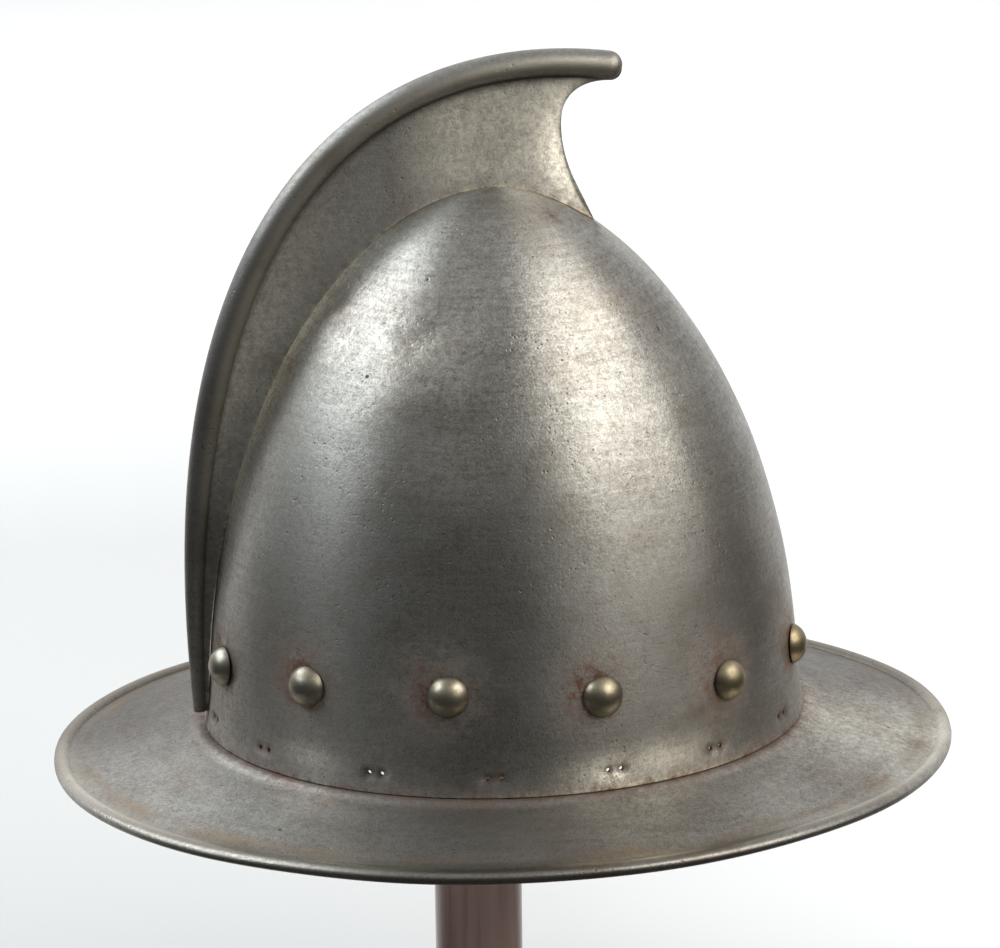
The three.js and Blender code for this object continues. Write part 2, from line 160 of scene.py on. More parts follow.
# Brim
BRIM_DROOP = 13.5
BRIM_SHEET = 1.4
BRIM_COLLAR_HEIGHT = 3.5
BRIM_COLUMNS = 420
BRIM_RIDGE_HEIGHT = 0.9
BRIM_RIDGE_WIDTH = 2.6
BRIM_RIDGE_OFFSET = 4.5
BRIM_WAVES = [(0.35, 2, 1.1), (0.25, 5, 0.4), (0.12, 11, 0.0)]
BRIM_ROLL_POINTS = 30
BRIM_UNDER_POINTS = 8
BRIM_TOP_POINTS = 40
BRIM_TOP_CROWDING = 0.6
BRIM_ROLL_LEAN = (0.0, 0.65, 1.1)
BRIM_ROLL_FLAT = ([-2.0, 0.2], [0, 1])
BRIM_ROLL_WIDTH = 3.2
BRIM_WORN_WIDTH = 2.2
# Painted shade on the brim's near side and toward its far side
BRIM_NEAR_SHADE = 0.44
BRIM_NEAR_SHADE_BEARING = -97.0
BRIM_NEAR_SHADE_SPREAD = 34.0
# Painted highlight on the brim toward the front
BRIM_HIGHLIGHT = 0.55
BRIM_HIGHLIGHT_BEARING = -13.0
BRIM_HIGHLIGHT_SPREAD = 20.0
BRIM_FAR_SHADE = 0.75
BRIM_FAR_FADE = 25.0
BRIM_RUST = 1.2
BRIM_RUST_WIDTH = 5.5
BRIM_STAIN_INSET = 5.0
BRIM_STAIN_SHARE = 0.985
BRIM_STAIN_WIDTH = 3.2
BRIM_STAIN_LOWEST = -14.0
GAP = 0.3

# Small dark pits in the brim: bearing on its oval and share of the way out to the roll
BRIM_PITS = table(
    "bearing out radius",
    (-129.5, 0.63, 1.2),
    (-4.0, 0.72, 1.0),
    (-15.0, 0.62, 1.1),
    (-163.0, 0.84, 0.8),
)

# Comb
COMB_ROLL_RADIUS_FOOT = 2.4
COMB_ROLL_RADIUS_BEAK = 5.15
COMB_ROLL_FULL_SHARE = 0.45
COMB_HALF_THICKNESS = 1.3
COMB_FLARE_HALF_WIDTH = 4.0
COMB_FLARE_POWER = 1.8
COMB_EDGE_HALF_THICKNESS = 0.6
COMB_EDGE_DEPTH_RATIO = 2.5
COMB_SEAT_FADE = 9.0
COMB_LIP = 0.5
COMB_FOOT_HEIGHT = 4.5
COMB_SHARE_OVER_SKULL = 0.9
COMB_FLARE_FULL_SHARE = 0.3
COMB_SEAM_STATIONS = 150
COMB_BOW_STATIONS = 14
COMB_BOW_SHARE = 0.025
COMB_EDGE_STATIONS = 44
COMB_TIP_STATIONS = 12
COMB_FOOT_POINTS = 6
COMB_PLATE_POINTS = 22
COMB_ROLL_POINTS = 20
COMB_FOOT_ROUNDING = 0.5
COMB_PLATE_START = 0.6
COMB_PLATE_SHORTEST = 0.3
COMB_PLATE_CROWDING = 1.4
COMB_EDGE_SAMPLES = 200
COMB_ROLL_LINE = [(-114.8, 4.5), (-124.1, 222.9), (-25.3, 251.4), (40.9, 242.0)]
COMB_FRONT_LINE = [(35.4, 185.2), (22.6, 203.0), (12.9, 237.2), (41.2, 236.4)]
SEAT_GAP = 0.05

# Where the comb gets painted highlights and painted shade. Angles go round the roll from its underside.
# Painted highlight band along the face of the roll
ROLL_FACE_BACK = 62.0
ROLL_FACE_BEAK = 92.0
ROLL_FACE_WIDTH = 25.0
# Painted shade on the roll's underside
ROLL_UNDER_GAP = 20.0
ROLL_UNDER_FADE = 35.0
ROLL_HIGHLIGHT_UP = ([40, 120], [0.15, 1])
# Painted shade in the crease below the roll
COMB_CREASE_SHADE_DEPTH = 1.2
COMB_CREASE_SHADE_BACK = 0.4
# Painted highlights on the comb's plate, strongest by its lower front edge
COMB_HIGHLIGHT_ALONG = ([-110.0, -85.0, -60.0, -40.0, -15.0, 5.0], [0.9, 0.75, 0.35, 0.15, 0.75, 0.7])
COMB_HIGHLIGHT_UP = ([60, 130], [0.1, 1])
COMB_HIGHLIGHT_FROM_SEAM = ([0, 22], [0.45, 1])
COMB_HIGHLIGHT_MOST = 1.2
COMB_EDGE_HIGHLIGHT = 0.5
COMB_EDGE_HIGHLIGHT_WIDTH = 8.5
COMB_EDGE_HIGHLIGHT_UP = ([190, 232], [1, 0.25])
COMB_RUST_DEPTH = 5.0
COMB_RUST_ALONG = ([-20, 15], [0.25, 0.75])
COMB_FOOT_RUST = 0.7
COMB_FOOT_RUST_HEIGHT = 6.0
BRAZE_WIDTH = 1.1
DISHED_BY_HIGHLIGHT = 0.10
DISHED_BY_EDGE = 0.85
DISHED_LEAN = (0.34, 0.0, 0.64)
SEATING_STEPS = 34

# Domed rivets on each side, numbered from the front on the right side, then from the back on the left
RIVETS = table(
    "bearing height", (19.5, 28.0), (49.5, 30.0), (78.5, 34.0), (107.5, 36.5), (137.0, 34.5), (166.0, 29.5)
)
RIVET_HEAD_RADIUS = 7.5
RIVET_HEAD_HEIGHT = 5.0
RIVET_SHANK_RADIUS = 2.0
RIVET_TAIL_RADIUS = 3.6
RIVET_TAIL_HEIGHT = 1.3
RIVET_COLUMNS = 56
RIVET_DOME_POINTS = 18
RIVET_TAIL_BEVEL = 0.8
RIVET_HEAD_BEVEL = 0.15
RIVET_HEAD_EDGE = 0.25
RIVET_FLATTEST = 0.05
RIVET_MOST_LEAN = 2.5
# Height of the dark line of grime and painted shade at the foot of each head
RIVET_GRIME_AND_SHADE_HEIGHT = 0.7

# Pairs of lining holes on each side
HOLE_BEARINGS = [8.0, 30.5, 54.0, 76.5, 99.0, 121.5, 148.5, 171.0]
HOLE_HEIGHT = 6.6
HOLE_SPACING = 5.0
HOLE_RADIUS = 0.75
HOLE_SIDES = 20
DIMPLE_DEPTH = 0.9
DIMPLE_RADIUS = 2.0
DIMPLE_REACH = 10.0
DRILL_LENGTH = 12.0

# Stand
POST_X = (post_low.x + post_high.x) / 2 / MM
POST_RADIUS = (post_high.x - post_low.x) / 2 / MM
BASE_RADIUS = (base_high.x - base_low.x) / 2 / MM
BASE_HEIGHT = base_high.z / MM
BASE_ROUNDING = 6.0
SOCKET_DEPTH = 12.0
STAND_COLUMNS = 96
STAND_BEVEL = 0.8
BASE_FOOT_BEVEL = 1.0
BASE_ROUNDING_POINTS = 14
POST_ROWS = 40


# Meshes


def to_scene(points):
    return (np.asarray(points, float) + np.array([0, 0, BASE_LINE])) * MM


def add_mesh(name, points, faces):
    mesh = bpy.data.meshes.new(name)
    mesh.from_pydata(to_scene(points).tolist(), [], faces)
    mesh.update()
    piece = bpy.data.objects.new(name, mesh)
    bpy.context.scene.collection.objects.link(piece)
    return piece


def smooth(piece, crease_degrees):
    piece.data.shade_smooth()
    piece.data.set_sharp_from_angle(angle=math.radians(crease_degrees))


def rings_to_mesh(name, rings, first=None, last=None, joined=False):
    """Skins a row of closed rings that have as many points each. Its ends close to a point or join up."""
    points = np.concatenate(rings)
    count = len(rings[0])
    total = len(rings)
    faces = []
    for row in range(total if joined else total - 1):
        low = row * count
        high = ((row + 1) % total) * count
        for k in range(count):
            after = (k + 1) % count
            faces.append((low + k, low + after, high + after, high + k))
    for end, row in ((first, 0), (last, total - 1)):
        if end is None:
            continue
        tip = len(points)
        points = np.vstack([points, end])
        for k in range(count):
            edge = (row * count + (k + 1) % count, row * count + k)
            faces.append((*edge, tip) if row == 0 else (*edge[::-1], tip))
    return add_mesh(name, points, faces)


def turned(name, profile, columns, centre=(0.0, 0.0)):
    """Turns a half profile of (radius, height) about an upright axis, which its end points lie on."""
    angles = np.linspace(0, 2 * np.pi, columns, endpoint=False)
    rings = []
    for radius, height in profile[1:-1]:
        across = centre[0] + radius * np.cos(angles)
        along = centre[1] + radius * np.sin(angles)
        rings.append(np.stack([across, along, np.full(columns, height)], 1))
    tips = [np.array([centre[0], centre[1], profile[i][1]]) for i in (0, -1)]
    return rings_to_mesh(name, rings, tips[0], tips[1])


def give_attributes(piece, **named):
    """Stores values by point: numbers, or directions where each point has three."""
    for name, values in named.items():
        values = np.asarray(values, np.float32)
        kind, field = ("FLOAT", "value") if values.ndim == 1 else ("FLOAT_VECTOR", "vector")
        layer = piece.data.attributes.new(name, kind, "POINT")
        layer.data.foreach_set(field, values.ravel())


def vertices_of(piece):
    flat = np.zeros(len(piece.data.vertices) * 3, np.float32)
    piece.data.vertices.foreach_get("co", flat)
    return flat.reshape(-1, 3).astype(float) / MM - np.array([0, 0, BASE_LINE])


def waves(points, wave_length, seed, count=14):
    """Gentle uneven relief between about -1 and 1, from a seeded sum of plane waves."""
    chance = np.random.RandomState(seed)
    total = np.zeros(len(points))
    for _ in range(count):
        direction = chance.normal(size=3)
        direction /= np.linalg.norm(direction)
        number = 2 * np.pi / (wave_length * chance.uniform(0.6, 1.7))
        total += np.sin(points @ direction * number + chance.uniform(0, 2 * np.pi))
    return total / math.sqrt(count)


def bell(values, middle, spread):
    """One at the middle, fading to nothing on both sides."""
    return np.exp(-(((values - middle) / spread) ** 2))


def near_point(points, centre, radius):
    """One at the centre, fading with the distance from it."""
    return bell(np.linalg.norm(points - centre, axis=1), 0.0, radius)


def bearings_of(points, half_length, half_width):
    """Bearing in degrees of each point on an oval."""
    return np.degrees(np.arctan2(points[:, 1] / half_width, points[:, 0] / half_length))


# Skull


def bowl_share(height, full_height):
    """Share of the base oval that is left at a height of the front profile."""
    rise = np.clip(np.asarray(height, float) / full_height, 0, 1)
    return (1 - rise**SKULL_SIDE_POWER) ** (1 / SKULL_TOP_POWER_FRONT)


def fullness(height, bearing):
    """How many times wider than its front profile the bowl is, at a bearing in radians."""
    rise = np.clip(np.asarray(height, float) / SKULL_HEIGHT, 0, SKULL_TOP_LIMIT)
    forward = (1 + np.cos(bearing)) / 2
    power = SKULL_TOP_POWER_BACK + (SKULL_TOP_POWER_FRONT - SKULL_TOP_POWER_BACK) * forward
    return (1 - rise**SKULL_SIDE_POWER) ** (1 / power - 1 / SKULL_TOP_POWER_FRONT)


def on_skull(bearing, height, inset=0.0):
    """Point of the skull's outside, or of its inside if inset, at a bearing in radians."""
    share = bowl_share(height, SKULL_HEIGHT - inset) * fullness(height, bearing)
    across = (SKULL_HALF_LENGTH - inset) * share * np.cos(bearing)
    along = (SKULL_HALF_WIDTH - inset) * share * np.sin(bearing)
    return np.stack(np.broadcast_arrays(across, along, np.asarray(height, float)), -1)


def skull_frame(bearing, height):
    """Point on the skull with its unit directions round, up and out."""
    step = 0.01
    point = on_skull(bearing, height)
    around = on_skull(bearing + step, height) - point
    upward = on_skull(bearing, height + step) - point
    around = around / np.linalg.norm(around, axis=-1, keepdims=True)
    upward = upward / np.linalg.norm(upward, axis=-1, keepdims=True)
    return point, around, upward, np.cross(around, upward)


def both_sides(rows):
    right = [{**row, "bearing": -row["bearing"]} for row in rows]
    return right + rows[::-1]


def hole_bearings():
    spread = math.degrees(HOLE_SPACING / 2 / SKULL_HALF_LENGTH)
    pairs = both_sides([{"bearing": bearing} for bearing in HOLE_BEARINGS])
    return [row["bearing"] + side * spread for row in pairs for side in (-1, 1)]


def hole_centres():
    return [on_skull(math.radians(bearing), HOLE_HEIGHT) for bearing in hole_bearings()]


def skull_relief(points):
    """How far the beaten surface stands out of the plain bowl at each point."""
    relief = WAVINESS * waves(points, WAVE_LENGTH, seed=5)
    relief += LIP_FLARE * np.exp(-points[:, 2] / LIP_HEIGHT)
    relief -= WAIST_DEPTH * np.exp(-points[:, 2] / WAIST_HEIGHT)
    for dent in DENTS:
        centre, around, upward, _ = skull_frame(math.radians(dent["bearing"]), dent["height"])
        turn = math.radians(dent["turned"])
        along = around * math.cos(turn) + upward * math.sin(turn)
        across = upward * math.cos(turn) - around * math.sin(turn)
        offset = points - centre
        near = np.exp(-((offset @ along / dent["length"]) ** 2) - (offset @ across / dent["width"]) ** 2)
        relief -= dent["depth"] * near * (np.linalg.norm(offset, axis=1) < DENT_REACH)
    low = points[:, 2] < HOLE_HEIGHT + DIMPLE_REACH
    for centre in hole_centres():
        relief[low] -= DIMPLE_DEPTH * near_point(points[low], centre, DIMPLE_RADIUS)
    return relief


def drill_bit(radius, sides, bearing, height, into):
    """Adds a cylinder square to the skull to the lists of cutter points and faces."""
    point, around, upward, out = skull_frame(math.radians(bearing), height)
    points, faces = into
    start = len(points)
    for end in (-DRILL_LENGTH / 2, DRILL_LENGTH / 2):
        for k in range(sides):
            angle = 2 * math.pi * k / sides
            rim = around * math.cos(angle) + upward * math.sin(angle)
            points.append(point + out * end + rim * radius)
    faces.append(tuple(start + k for k in reversed(range(sides))))
    faces.append(tuple(start + sides + k for k in range(sides)))
    for k in range(sides):
        after = (k + 1) % sides
        faces.append((start + k, start + after, start + sides + after, start + sides + k))


def cut_holes(skull):
    bits = ([], [])
    for bearing in hole_bearings():
        drill_bit(HOLE_RADIUS, HOLE_SIDES, bearing, HOLE_HEIGHT, bits)
    for row in both_sides(RIVETS):
        drill_bit(RIVET_SHANK_RADIUS + GAP, HOLE_SIDES, row["bearing"], row["height"], bits)
    cutter = add_mesh("drill_bits", *bits)
    cut = skull.modifiers.new("holes", "BOOLEAN")
    cut.operation = "DIFFERENCE"
    cut.solver = "MANIFOLD"
    cut.object = cutter
    settled = skull.evaluated_get(bpy.context.evaluated_depsgraph_get())
    pierced = bpy.data.meshes.new_from_object(settled)
    skull.modifiers.clear()
    skull.data = pierced
    bpy.data.objects.remove(cutter)


def skull_rust(points):
    """Share of rust by place: round the rivets, along the lower edge and along the comb's seam."""
    rust = EDGE_RUST * np.exp(-points[:, 2] / EDGE_RUST_HEIGHT)
    for row in both_sides(RIVETS):
        turn = math.copysign(HALO_TURN, row["bearing"])
        centre = on_skull(math.radians(row["bearing"] + turn), row["height"] + HALO_RISE)
        rust = np.maximum(rust, HALO_RUST * near_point(points, centre, HALO_RADIUS))
    for centre in hole_centres():
        rust = np.maximum(rust, near_point(points, centre, HOLE_RUST_RADIUS))
    for row in SKULL_STAINS:
        centre = on_skull(math.radians(row["bearing"]), row["height"])
        rust = np.maximum(rust, near_point(points, centre, row["radius"]))
    seam = bell(np.abs(points[:, 1]), COMB_FLARE_HALF_WIDTH, SEAM_RUST_WIDTH)
    behind_front = points[:, 0] < COMB_FRONT_LINE[0][0] + SEAM_RUST_AHEAD
    high = points[:, 2] > SEAM_RUST_LOWEST
    return np.maximum(rust, SEAM_RUST * seam * behind_front * high)


def hole_grime(points):
    """Dirt that has settled in the dimples round the lining holes."""
    grime = np.zeros(len(points))
    for centre in hole_centres():
        grime = np.maximum(grime, near_point(points, centre, DIMPLE_RADIUS))
    return grime


def patches(points, rows):
    """How far each point of the skull lies in the oval patches of a table."""
    amount = np.zeros(len(points))
    for row in rows:
        centre, around, upward, _ = skull_frame(math.radians(row["bearing"]), row["height"])
        offset = points - centre
        away = (offset @ around / row["length"]) ** 2 + (offset @ upward / row["width"]) ** 2
        near = np.linalg.norm(offset, axis=1) < PATCH_REACH
        amount = np.maximum(amount, row["amount"] * np.exp(-away) * near)
    return amount


def beside_seam(points, width):
    """One along the comb's seam that fades with the distance from it, on the outside only."""
    behind_front = points[:, 0] < COMB_FRONT_LINE[0][0]
    outside = outside_skull(points) > -FILLET_SKIN
    return bell(np.abs(points[:, 1]), COMB_FLARE_HALF_WIDTH, width) * behind_front * outside


def skull_polish(points):
    """How much painted highlight the skull gets by place. Its back also gets a painted highlight along the
    comb's seam.
    """
    at_back = np.interp(points[:, 0], *SEAM_HIGHLIGHT_ALONG) * np.interp(points[:, 2], *SEAM_HIGHLIGHT_UP)
    along_seam = SEAM_HIGHLIGHT * at_back * beside_seam(points, FILLET_WIDTH)
    return np.maximum(patches(points, SKULL_HIGHLIGHT_PATCHES), along_seam)


def skull_grime(points):
    """Dirt on the skull in the dimples and in a thin line along the comb's seam, and painted shade on its
    shaded patch.
    """
    line = SEAM_GRIME * beside_seam(points, SEAM_GRIME_WIDTH) * np.interp(points[:, 0], *SEAM_GRIME_ALONG)
    return np.maximum(np.maximum(hole_grime(points), line), patches(points, SKULL_SHADE_PATCHES))


def worn_lip(points):
    """Bare metal along the near part of the skull's lower edge."""
    bearing = bearings_of(points, SKULL_HALF_LENGTH, SKULL_HALF_WIDTH)
    near_side = bell(bearing, LIP_WEAR_BEARING, LIP_WEAR_SPREAD)
    return LIP_WEAR * near_side * bell(points[:, 2], 0.0, LIP_WEAR_HEIGHT)


def brown_cast(points):
    """Brown tint on both sides, toward the front."""
    bearing = bearings_of(points, SKULL_HALF_LENGTH, SKULL_HALF_WIDTH)
    return bell(np.abs(bearing), BROWN_BEARING, BROWN_SPREAD) * np.interp(points[:, 2], *BROWN_UP)


def fillet_lean(points):
    """How far the surface turns toward the comb's sides, close to the seam where the sheets meet."""
    lean = FILLET_LEAN * beside_seam(points, FILLET_WIDTH)
    return np.stack([np.zeros(len(points)), np.sign(points[:, 1]) * lean, np.zeros(len(points))], 1)


def make_skull():
    angles = np.linspace(0, 2 * np.pi, SKULL_COLUMNS, endpoint=False)
    crown_steps = np.sin(np.linspace(0, np.pi / 2, SKULL_CROWN_ROWS)[:-1])
    lip = np.arange(0, SKULL_LIP_TOP, SKULL_LIP_STEP)
    side = np.arange(SKULL_LIP_TOP, SKULL_CROWN_START, SKULL_SIDE_STEP)
    crown = SKULL_CROWN_START + (SKULL_HEIGHT - SKULL_CROWN_START) * crown_steps
    inside = (SKULL_HEIGHT - SKULL_WALL) * crown_steps
    rings = [on_skull(angles, height, SKULL_WALL) for height in inside[::-1]]
    for height in np.concatenate([lip, side, crown]):
        plain, _, _, out = skull_frame(angles, np.full(SKULL_COLUMNS, height))
        rings.append(plain + out * skull_relief(plain)[:, None])
    inner_top = np.array([0, 0, SKULL_HEIGHT - SKULL_WALL])
    skull = rings_to_mesh("helmet_skull", rings, inner_top, np.array([0, 0, SKULL_HEIGHT]))
    cut_holes(skull)
    smooth(skull, crease_degrees=38)
    points = vertices_of(skull)
    give_attributes(
        skull,
        rust=skull_rust(points),
        # Painted highlights
        polish=skull_polish(points),
        # Dirt in the dimples, a dark seam line and painted shade
        grime=skull_grime(points),
        seam=worn_lip(points),
        stain=brown_cast(points),
        lean=fillet_lean(points),
    )
    return skull


# Brim


def brim_half_width(half_length):
    """Half width of the brim's oval whose half length is given. The roll keeps its round section."""
    roll_start = BRIM_HALF_LENGTH - BRIM_ROLL_RADIUS
    plate = np.interp(
        half_length,
        [0, SKULL_HALF_LENGTH, roll_start],
        [0, SKULL_HALF_WIDTH, BRIM_HALF_WIDTH - BRIM_ROLL_RADIUS],
    )
    return np.where(half_length >= roll_start, BRIM_HALF_WIDTH + half_length - BRIM_HALF_LENGTH, plate)


def brim_profile():
    """Closed section of the brim as (half length, height) from the collar out under the plate and back."""
    collar_out = SKULL_HALF_LENGTH - SKULL_WALL - 2 * GAP
    collar_in = collar_out - BRIM_SHEET
    slope = math.atan2(BRIM_DROOP, BRIM_HALF_LENGTH - SKULL_HALF_LENGTH)
    grip = math.asin(BRIM_SHEET / 2 / BRIM_ROLL_RADIUS)
    sweep = math.pi - slope + grip + np.linspace(0, 2 * (math.pi - grip), BRIM_ROLL_POINTS)
    roll_out = BRIM_HALF_LENGTH + BRIM_ROLL_RADIUS * np.cos(sweep)
    roll_height = -BRIM_DROOP + BRIM_ROLL_RADIUS * np.sin(sweep)
    roll = np.stack([roll_out, roll_height], 1)
    under = np.array([[collar_in, BRIM_COLLAR_HEIGHT], [collar_in, -GAP - BRIM_SHEET]])
    under_edge = np.array([SKULL_HALF_LENGTH, -GAP - BRIM_SHEET])
    under_shares = np.linspace(0, 1, BRIM_UNDER_POINTS)[:-1, None]
    plate_under = under_edge + under_shares * (roll[0] - under_edge)
    inner = np.array([SKULL_HALF_LENGTH, -GAP])
    shares = np.linspace(0, 1, BRIM_TOP_POINTS)[1:] ** BRIM_TOP_CROWDING
    plate_top = roll[-1] + shares[:, None] * (inner - roll[-1])
    from_skull = plate_top[:, 0] - SKULL_HALF_LENGTH
    plate_top[:, 1] += BRIM_RIDGE_HEIGHT * bell(from_skull, BRIM_RIDGE_OFFSET, BRIM_RIDGE_WIDTH)
    collar = np.array([[collar_out, -GAP], [collar_out, BRIM_COLLAR_HEIGHT]])
    return np.vstack([under, plate_under, roll, plate_top, collar])


def mark_brim(brim):
    """Gives the brim its rust, stain and wear by place, with painted shade on its near side and toward its
    far side, and a painted highlight toward the front.
    """
    points = vertices_of(brim)
    share = np.hypot(points[:, 0] / SKULL_HALF_LENGTH, points[:, 1] / SKULL_HALF_WIDTH)
    stain_half_length = BRIM_HALF_LENGTH - BRIM_STAIN_INSET
    stain_half_width = BRIM_HALF_WIDTH - BRIM_STAIN_INSET
    rim = np.hypot(points[:, 0] / stain_half_length, points[:, 1] / stain_half_width)
    beside_roll = bell((rim - BRIM_STAIN_SHARE) * BRIM_HALF_LENGTH, 0.0, BRIM_STAIN_WIDTH)
    bearing = bearings_of(points, BRIM_HALF_LENGTH, BRIM_HALF_WIDTH)
    # Painted shade on the near side and toward the far side
    front_grime = BRIM_NEAR_SHADE * bell(bearing, BRIM_NEAR_SHADE_BEARING, BRIM_NEAR_SHADE_SPREAD)
    far_grime = BRIM_FAR_SHADE * np.clip((points[:, 1] + BRIM_FAR_FADE) / (2 * BRIM_FAR_FADE), 0, 1)
    roll_share = np.hypot(points[:, 0] / BRIM_HALF_LENGTH, points[:, 1] / BRIM_HALF_WIDTH)
    off_roll = np.abs(roll_share - 1) * BRIM_HALF_LENGTH
    on_roll = np.exp(-((off_roll / BRIM_ROLL_WIDTH) ** 4))
    flattened = on_roll * np.interp(points[:, 2] + BRIM_DROOP, *BRIM_ROLL_FLAT)
    near_side = np.clip(-points[:, 1] / BRIM_HALF_WIDTH, 0, 1)
    toward_viewer = np.stack([np.zeros(len(points)), near_side, np.ones(len(points))], 1)
    give_attributes(
        brim,
        rust=BRIM_RUST * bell((share - 1) * SKULL_HALF_LENGTH, 0.0, BRIM_RUST_WIDTH),
        stain=beside_roll * (points[:, 2] > BRIM_STAIN_LOWEST),
        grime=np.maximum(front_grime, far_grime),
        # Painted highlight toward the front
        polish=BRIM_HIGHLIGHT * bell(bearing, BRIM_HIGHLIGHT_BEARING, BRIM_HIGHLIGHT_SPREAD),
        # Worn bright metal all round the bead
        worn=bell(off_roll, 0.0, BRIM_WORN_WIDTH),
        roll=on_roll,
        lean=flattened[:, None] * (toward_viewer * np.array(BRIM_ROLL_LEAN)),
    )


def make_brim():
    angles = np.linspace(0, 2 * np.pi, BRIM_COLUMNS, endpoint=False)
    wave = sum(size * np.sin(count * angles + shift) for size, count, shift in BRIM_WAVES)
    rings = []
    for half_length, height in brim_profile():
        out = np.clip((half_length - SKULL_HALF_LENGTH) / (BRIM_HALF_LENGTH - SKULL_HALF_LENGTH), 0, 1)
        across = half_length * np.cos(angles)
        along = brim_half_width(half_length) * np.sin(angles)
        rings.append(np.stack([across, along, height + out * wave], 1))
    brim = rings_to_mesh("helmet_brim", rings[::-1], joined=True)
    smooth(brim, crease_degrees=50)
    mark_brim(brim)
    return brim


# Comb


def bezier_points(controls, shares):
    """Points of a cubic curve at shares of its length."""
    a, b, c, d = (np.array(p, float) for p in controls)
    t = np.linspace(0, 1, 801)[:, None]
    line = a * (1 - t) ** 3 + 3 * b * t * (1 - t) ** 2 + 3 * c * t**2 * (1 - t) + d * t**3
    travelled = np.concatenate([[0], np.cumsum(np.linalg.norm(np.diff(line, axis=0), axis=1))])
    wanted = np.asarray(shares) * travelled[-1]
    return np.stack([np.interp(wanted, travelled, line[:, i]) for i in (0, 1)], -1)


def outside_skull(points):
    along = points[:, 0] / (SKULL_HALF_LENGTH + SEAT_GAP)
    across = points[:, 1] / (SKULL_HALF_WIDTH + SEAT_GAP)
    share = bowl_share(points[:, 2], SKULL_HEIGHT + SEAT_GAP)
    return np.hypot(along, across) - share * fullness(points[:, 2], np.arctan2(across, along))


def seat_on_skull(points, direction):
    """Slides points along a direction until they sit on the skull."""
    near = np.full(len(points), -COMB_FLARE_HALF_WIDTH)
    far = np.full(len(points), COMB_FLARE_HALF_WIDTH)
    for _ in range(SEATING_STEPS):
        middle = (near + far) / 2
        clear = outside_skull(points + middle[:, None] * direction) > 0
        far = np.where(clear, middle, far)
        near = np.where(clear, near, middle)
    return points + far[:, None] * direction


def median_point(angle):
    """Skull's median profile from its back edge at 0 over the top to its front edge at a half turn."""
    forward = -math.cos(angle)
    power = SKULL_TOP_POWER_FRONT if forward > 0 else SKULL_TOP_POWER_BACK
    along = math.copysign(abs(forward) ** (2 / power), forward)
    up = math.sin(angle) ** (2 / SKULL_SIDE_POWER)
    return np.array([SKULL_HALF_LENGTH * along, SKULL_HEIGHT * up])


def comb_roll_radius(share):
    """The roll swells from the foot and keeps its full radius over the upper part."""
    swelling = math.sin(min(share / COMB_ROLL_FULL_SHARE, 1) * math.pi / 2)
    return COMB_ROLL_RADIUS_FOOT + (COMB_ROLL_RADIUS_BEAK - COMB_ROLL_RADIUS_FOOT) * swelling


def roll_outward(share):
    """Direction square to the roll's centre line, away from the skull."""
    step = 0.004
    before, after = bezier_points(COMB_ROLL_LINE, [max(share - step, 0), min(share + step, 1)])
    along, up = (after - before) / np.linalg.norm(after - before)
    return np.array([-up, along])


def on_median_plane(place):
    return np.array([place[0], 0, place[1]])


def from_front_edge(places):
    """Distance of places in the median plane from the comb's front edge."""
    edge = bezier_points(COMB_FRONT_LINE, np.linspace(0, 1, COMB_EDGE_SAMPLES))
    return np.min(np.linalg.norm(places[:, None, :] - edge[None], axis=2), axis=1)


def comb_half_thickness(points, flare, climbed):
    """Half the comb's thickness at points of the median plane. Its sheets spread from the roll to the skull
    and round in to a thin keel at the front edge."""
    body = COMB_HALF_THICKNESS + flare * (1 - np.minimum(climbed, 1)) ** COMB_FLARE_POWER
    inward = np.minimum(from_front_edge(points) / (COMB_EDGE_DEPTH_RATIO * body), 1)
    return COMB_EDGE_HALF_THICKNESS + (body - COMB_EDGE_HALF_THICKNESS) * np.sqrt(1 - (1 - inward) ** 2)


def comb_surface(rises, height, plate_end, sweep, upright):
    """For each point of a section its rise over the lower edge, its painted highlight band, its painted shade
    and whether it lies on the roll. A section starts below, goes up one side and comes down the other."""
    foot = np.zeros(COMB_FOOT_POINTS)
    plate = np.zeros(COMB_PLATE_POINTS)
    round_roll = np.degrees(sweep)
    face_angle = ROLL_FACE_BACK + (ROLL_FACE_BEAK - ROLL_FACE_BACK) * upright
    # Painted highlight band on the roll's face
    face = bell(round_roll, face_angle, ROLL_FACE_WIDTH)
    # Painted shade on the roll's underside
    under = upright * np.clip((face_angle - ROLL_UNDER_GAP - round_roll) / ROLL_UNDER_FADE, 0, 1)
    # Painted shade in the crease below the roll
    below_roll = COMB_CREASE_SHADE_BACK + (1 - COMB_CREASE_SHADE_BACK) * upright
    below_roll = below_roll * np.exp(-(plate_end - rises) / COMB_CREASE_SHADE_DEPTH)
    sides_and_tops = [
        (np.concatenate([foot, rises, np.full(COMB_ROLL_POINTS, height)]), height),
        (np.concatenate([foot, plate, face]), 0),
        (np.concatenate([foot, below_roll, under]), 0),
        (np.concatenate([foot, plate, np.ones(COMB_ROLL_POINTS)]), 1),
    ]
    return np.stack([np.concatenate([[0], side, [top], side[::-1]]) for side, top in sides_and_tops])


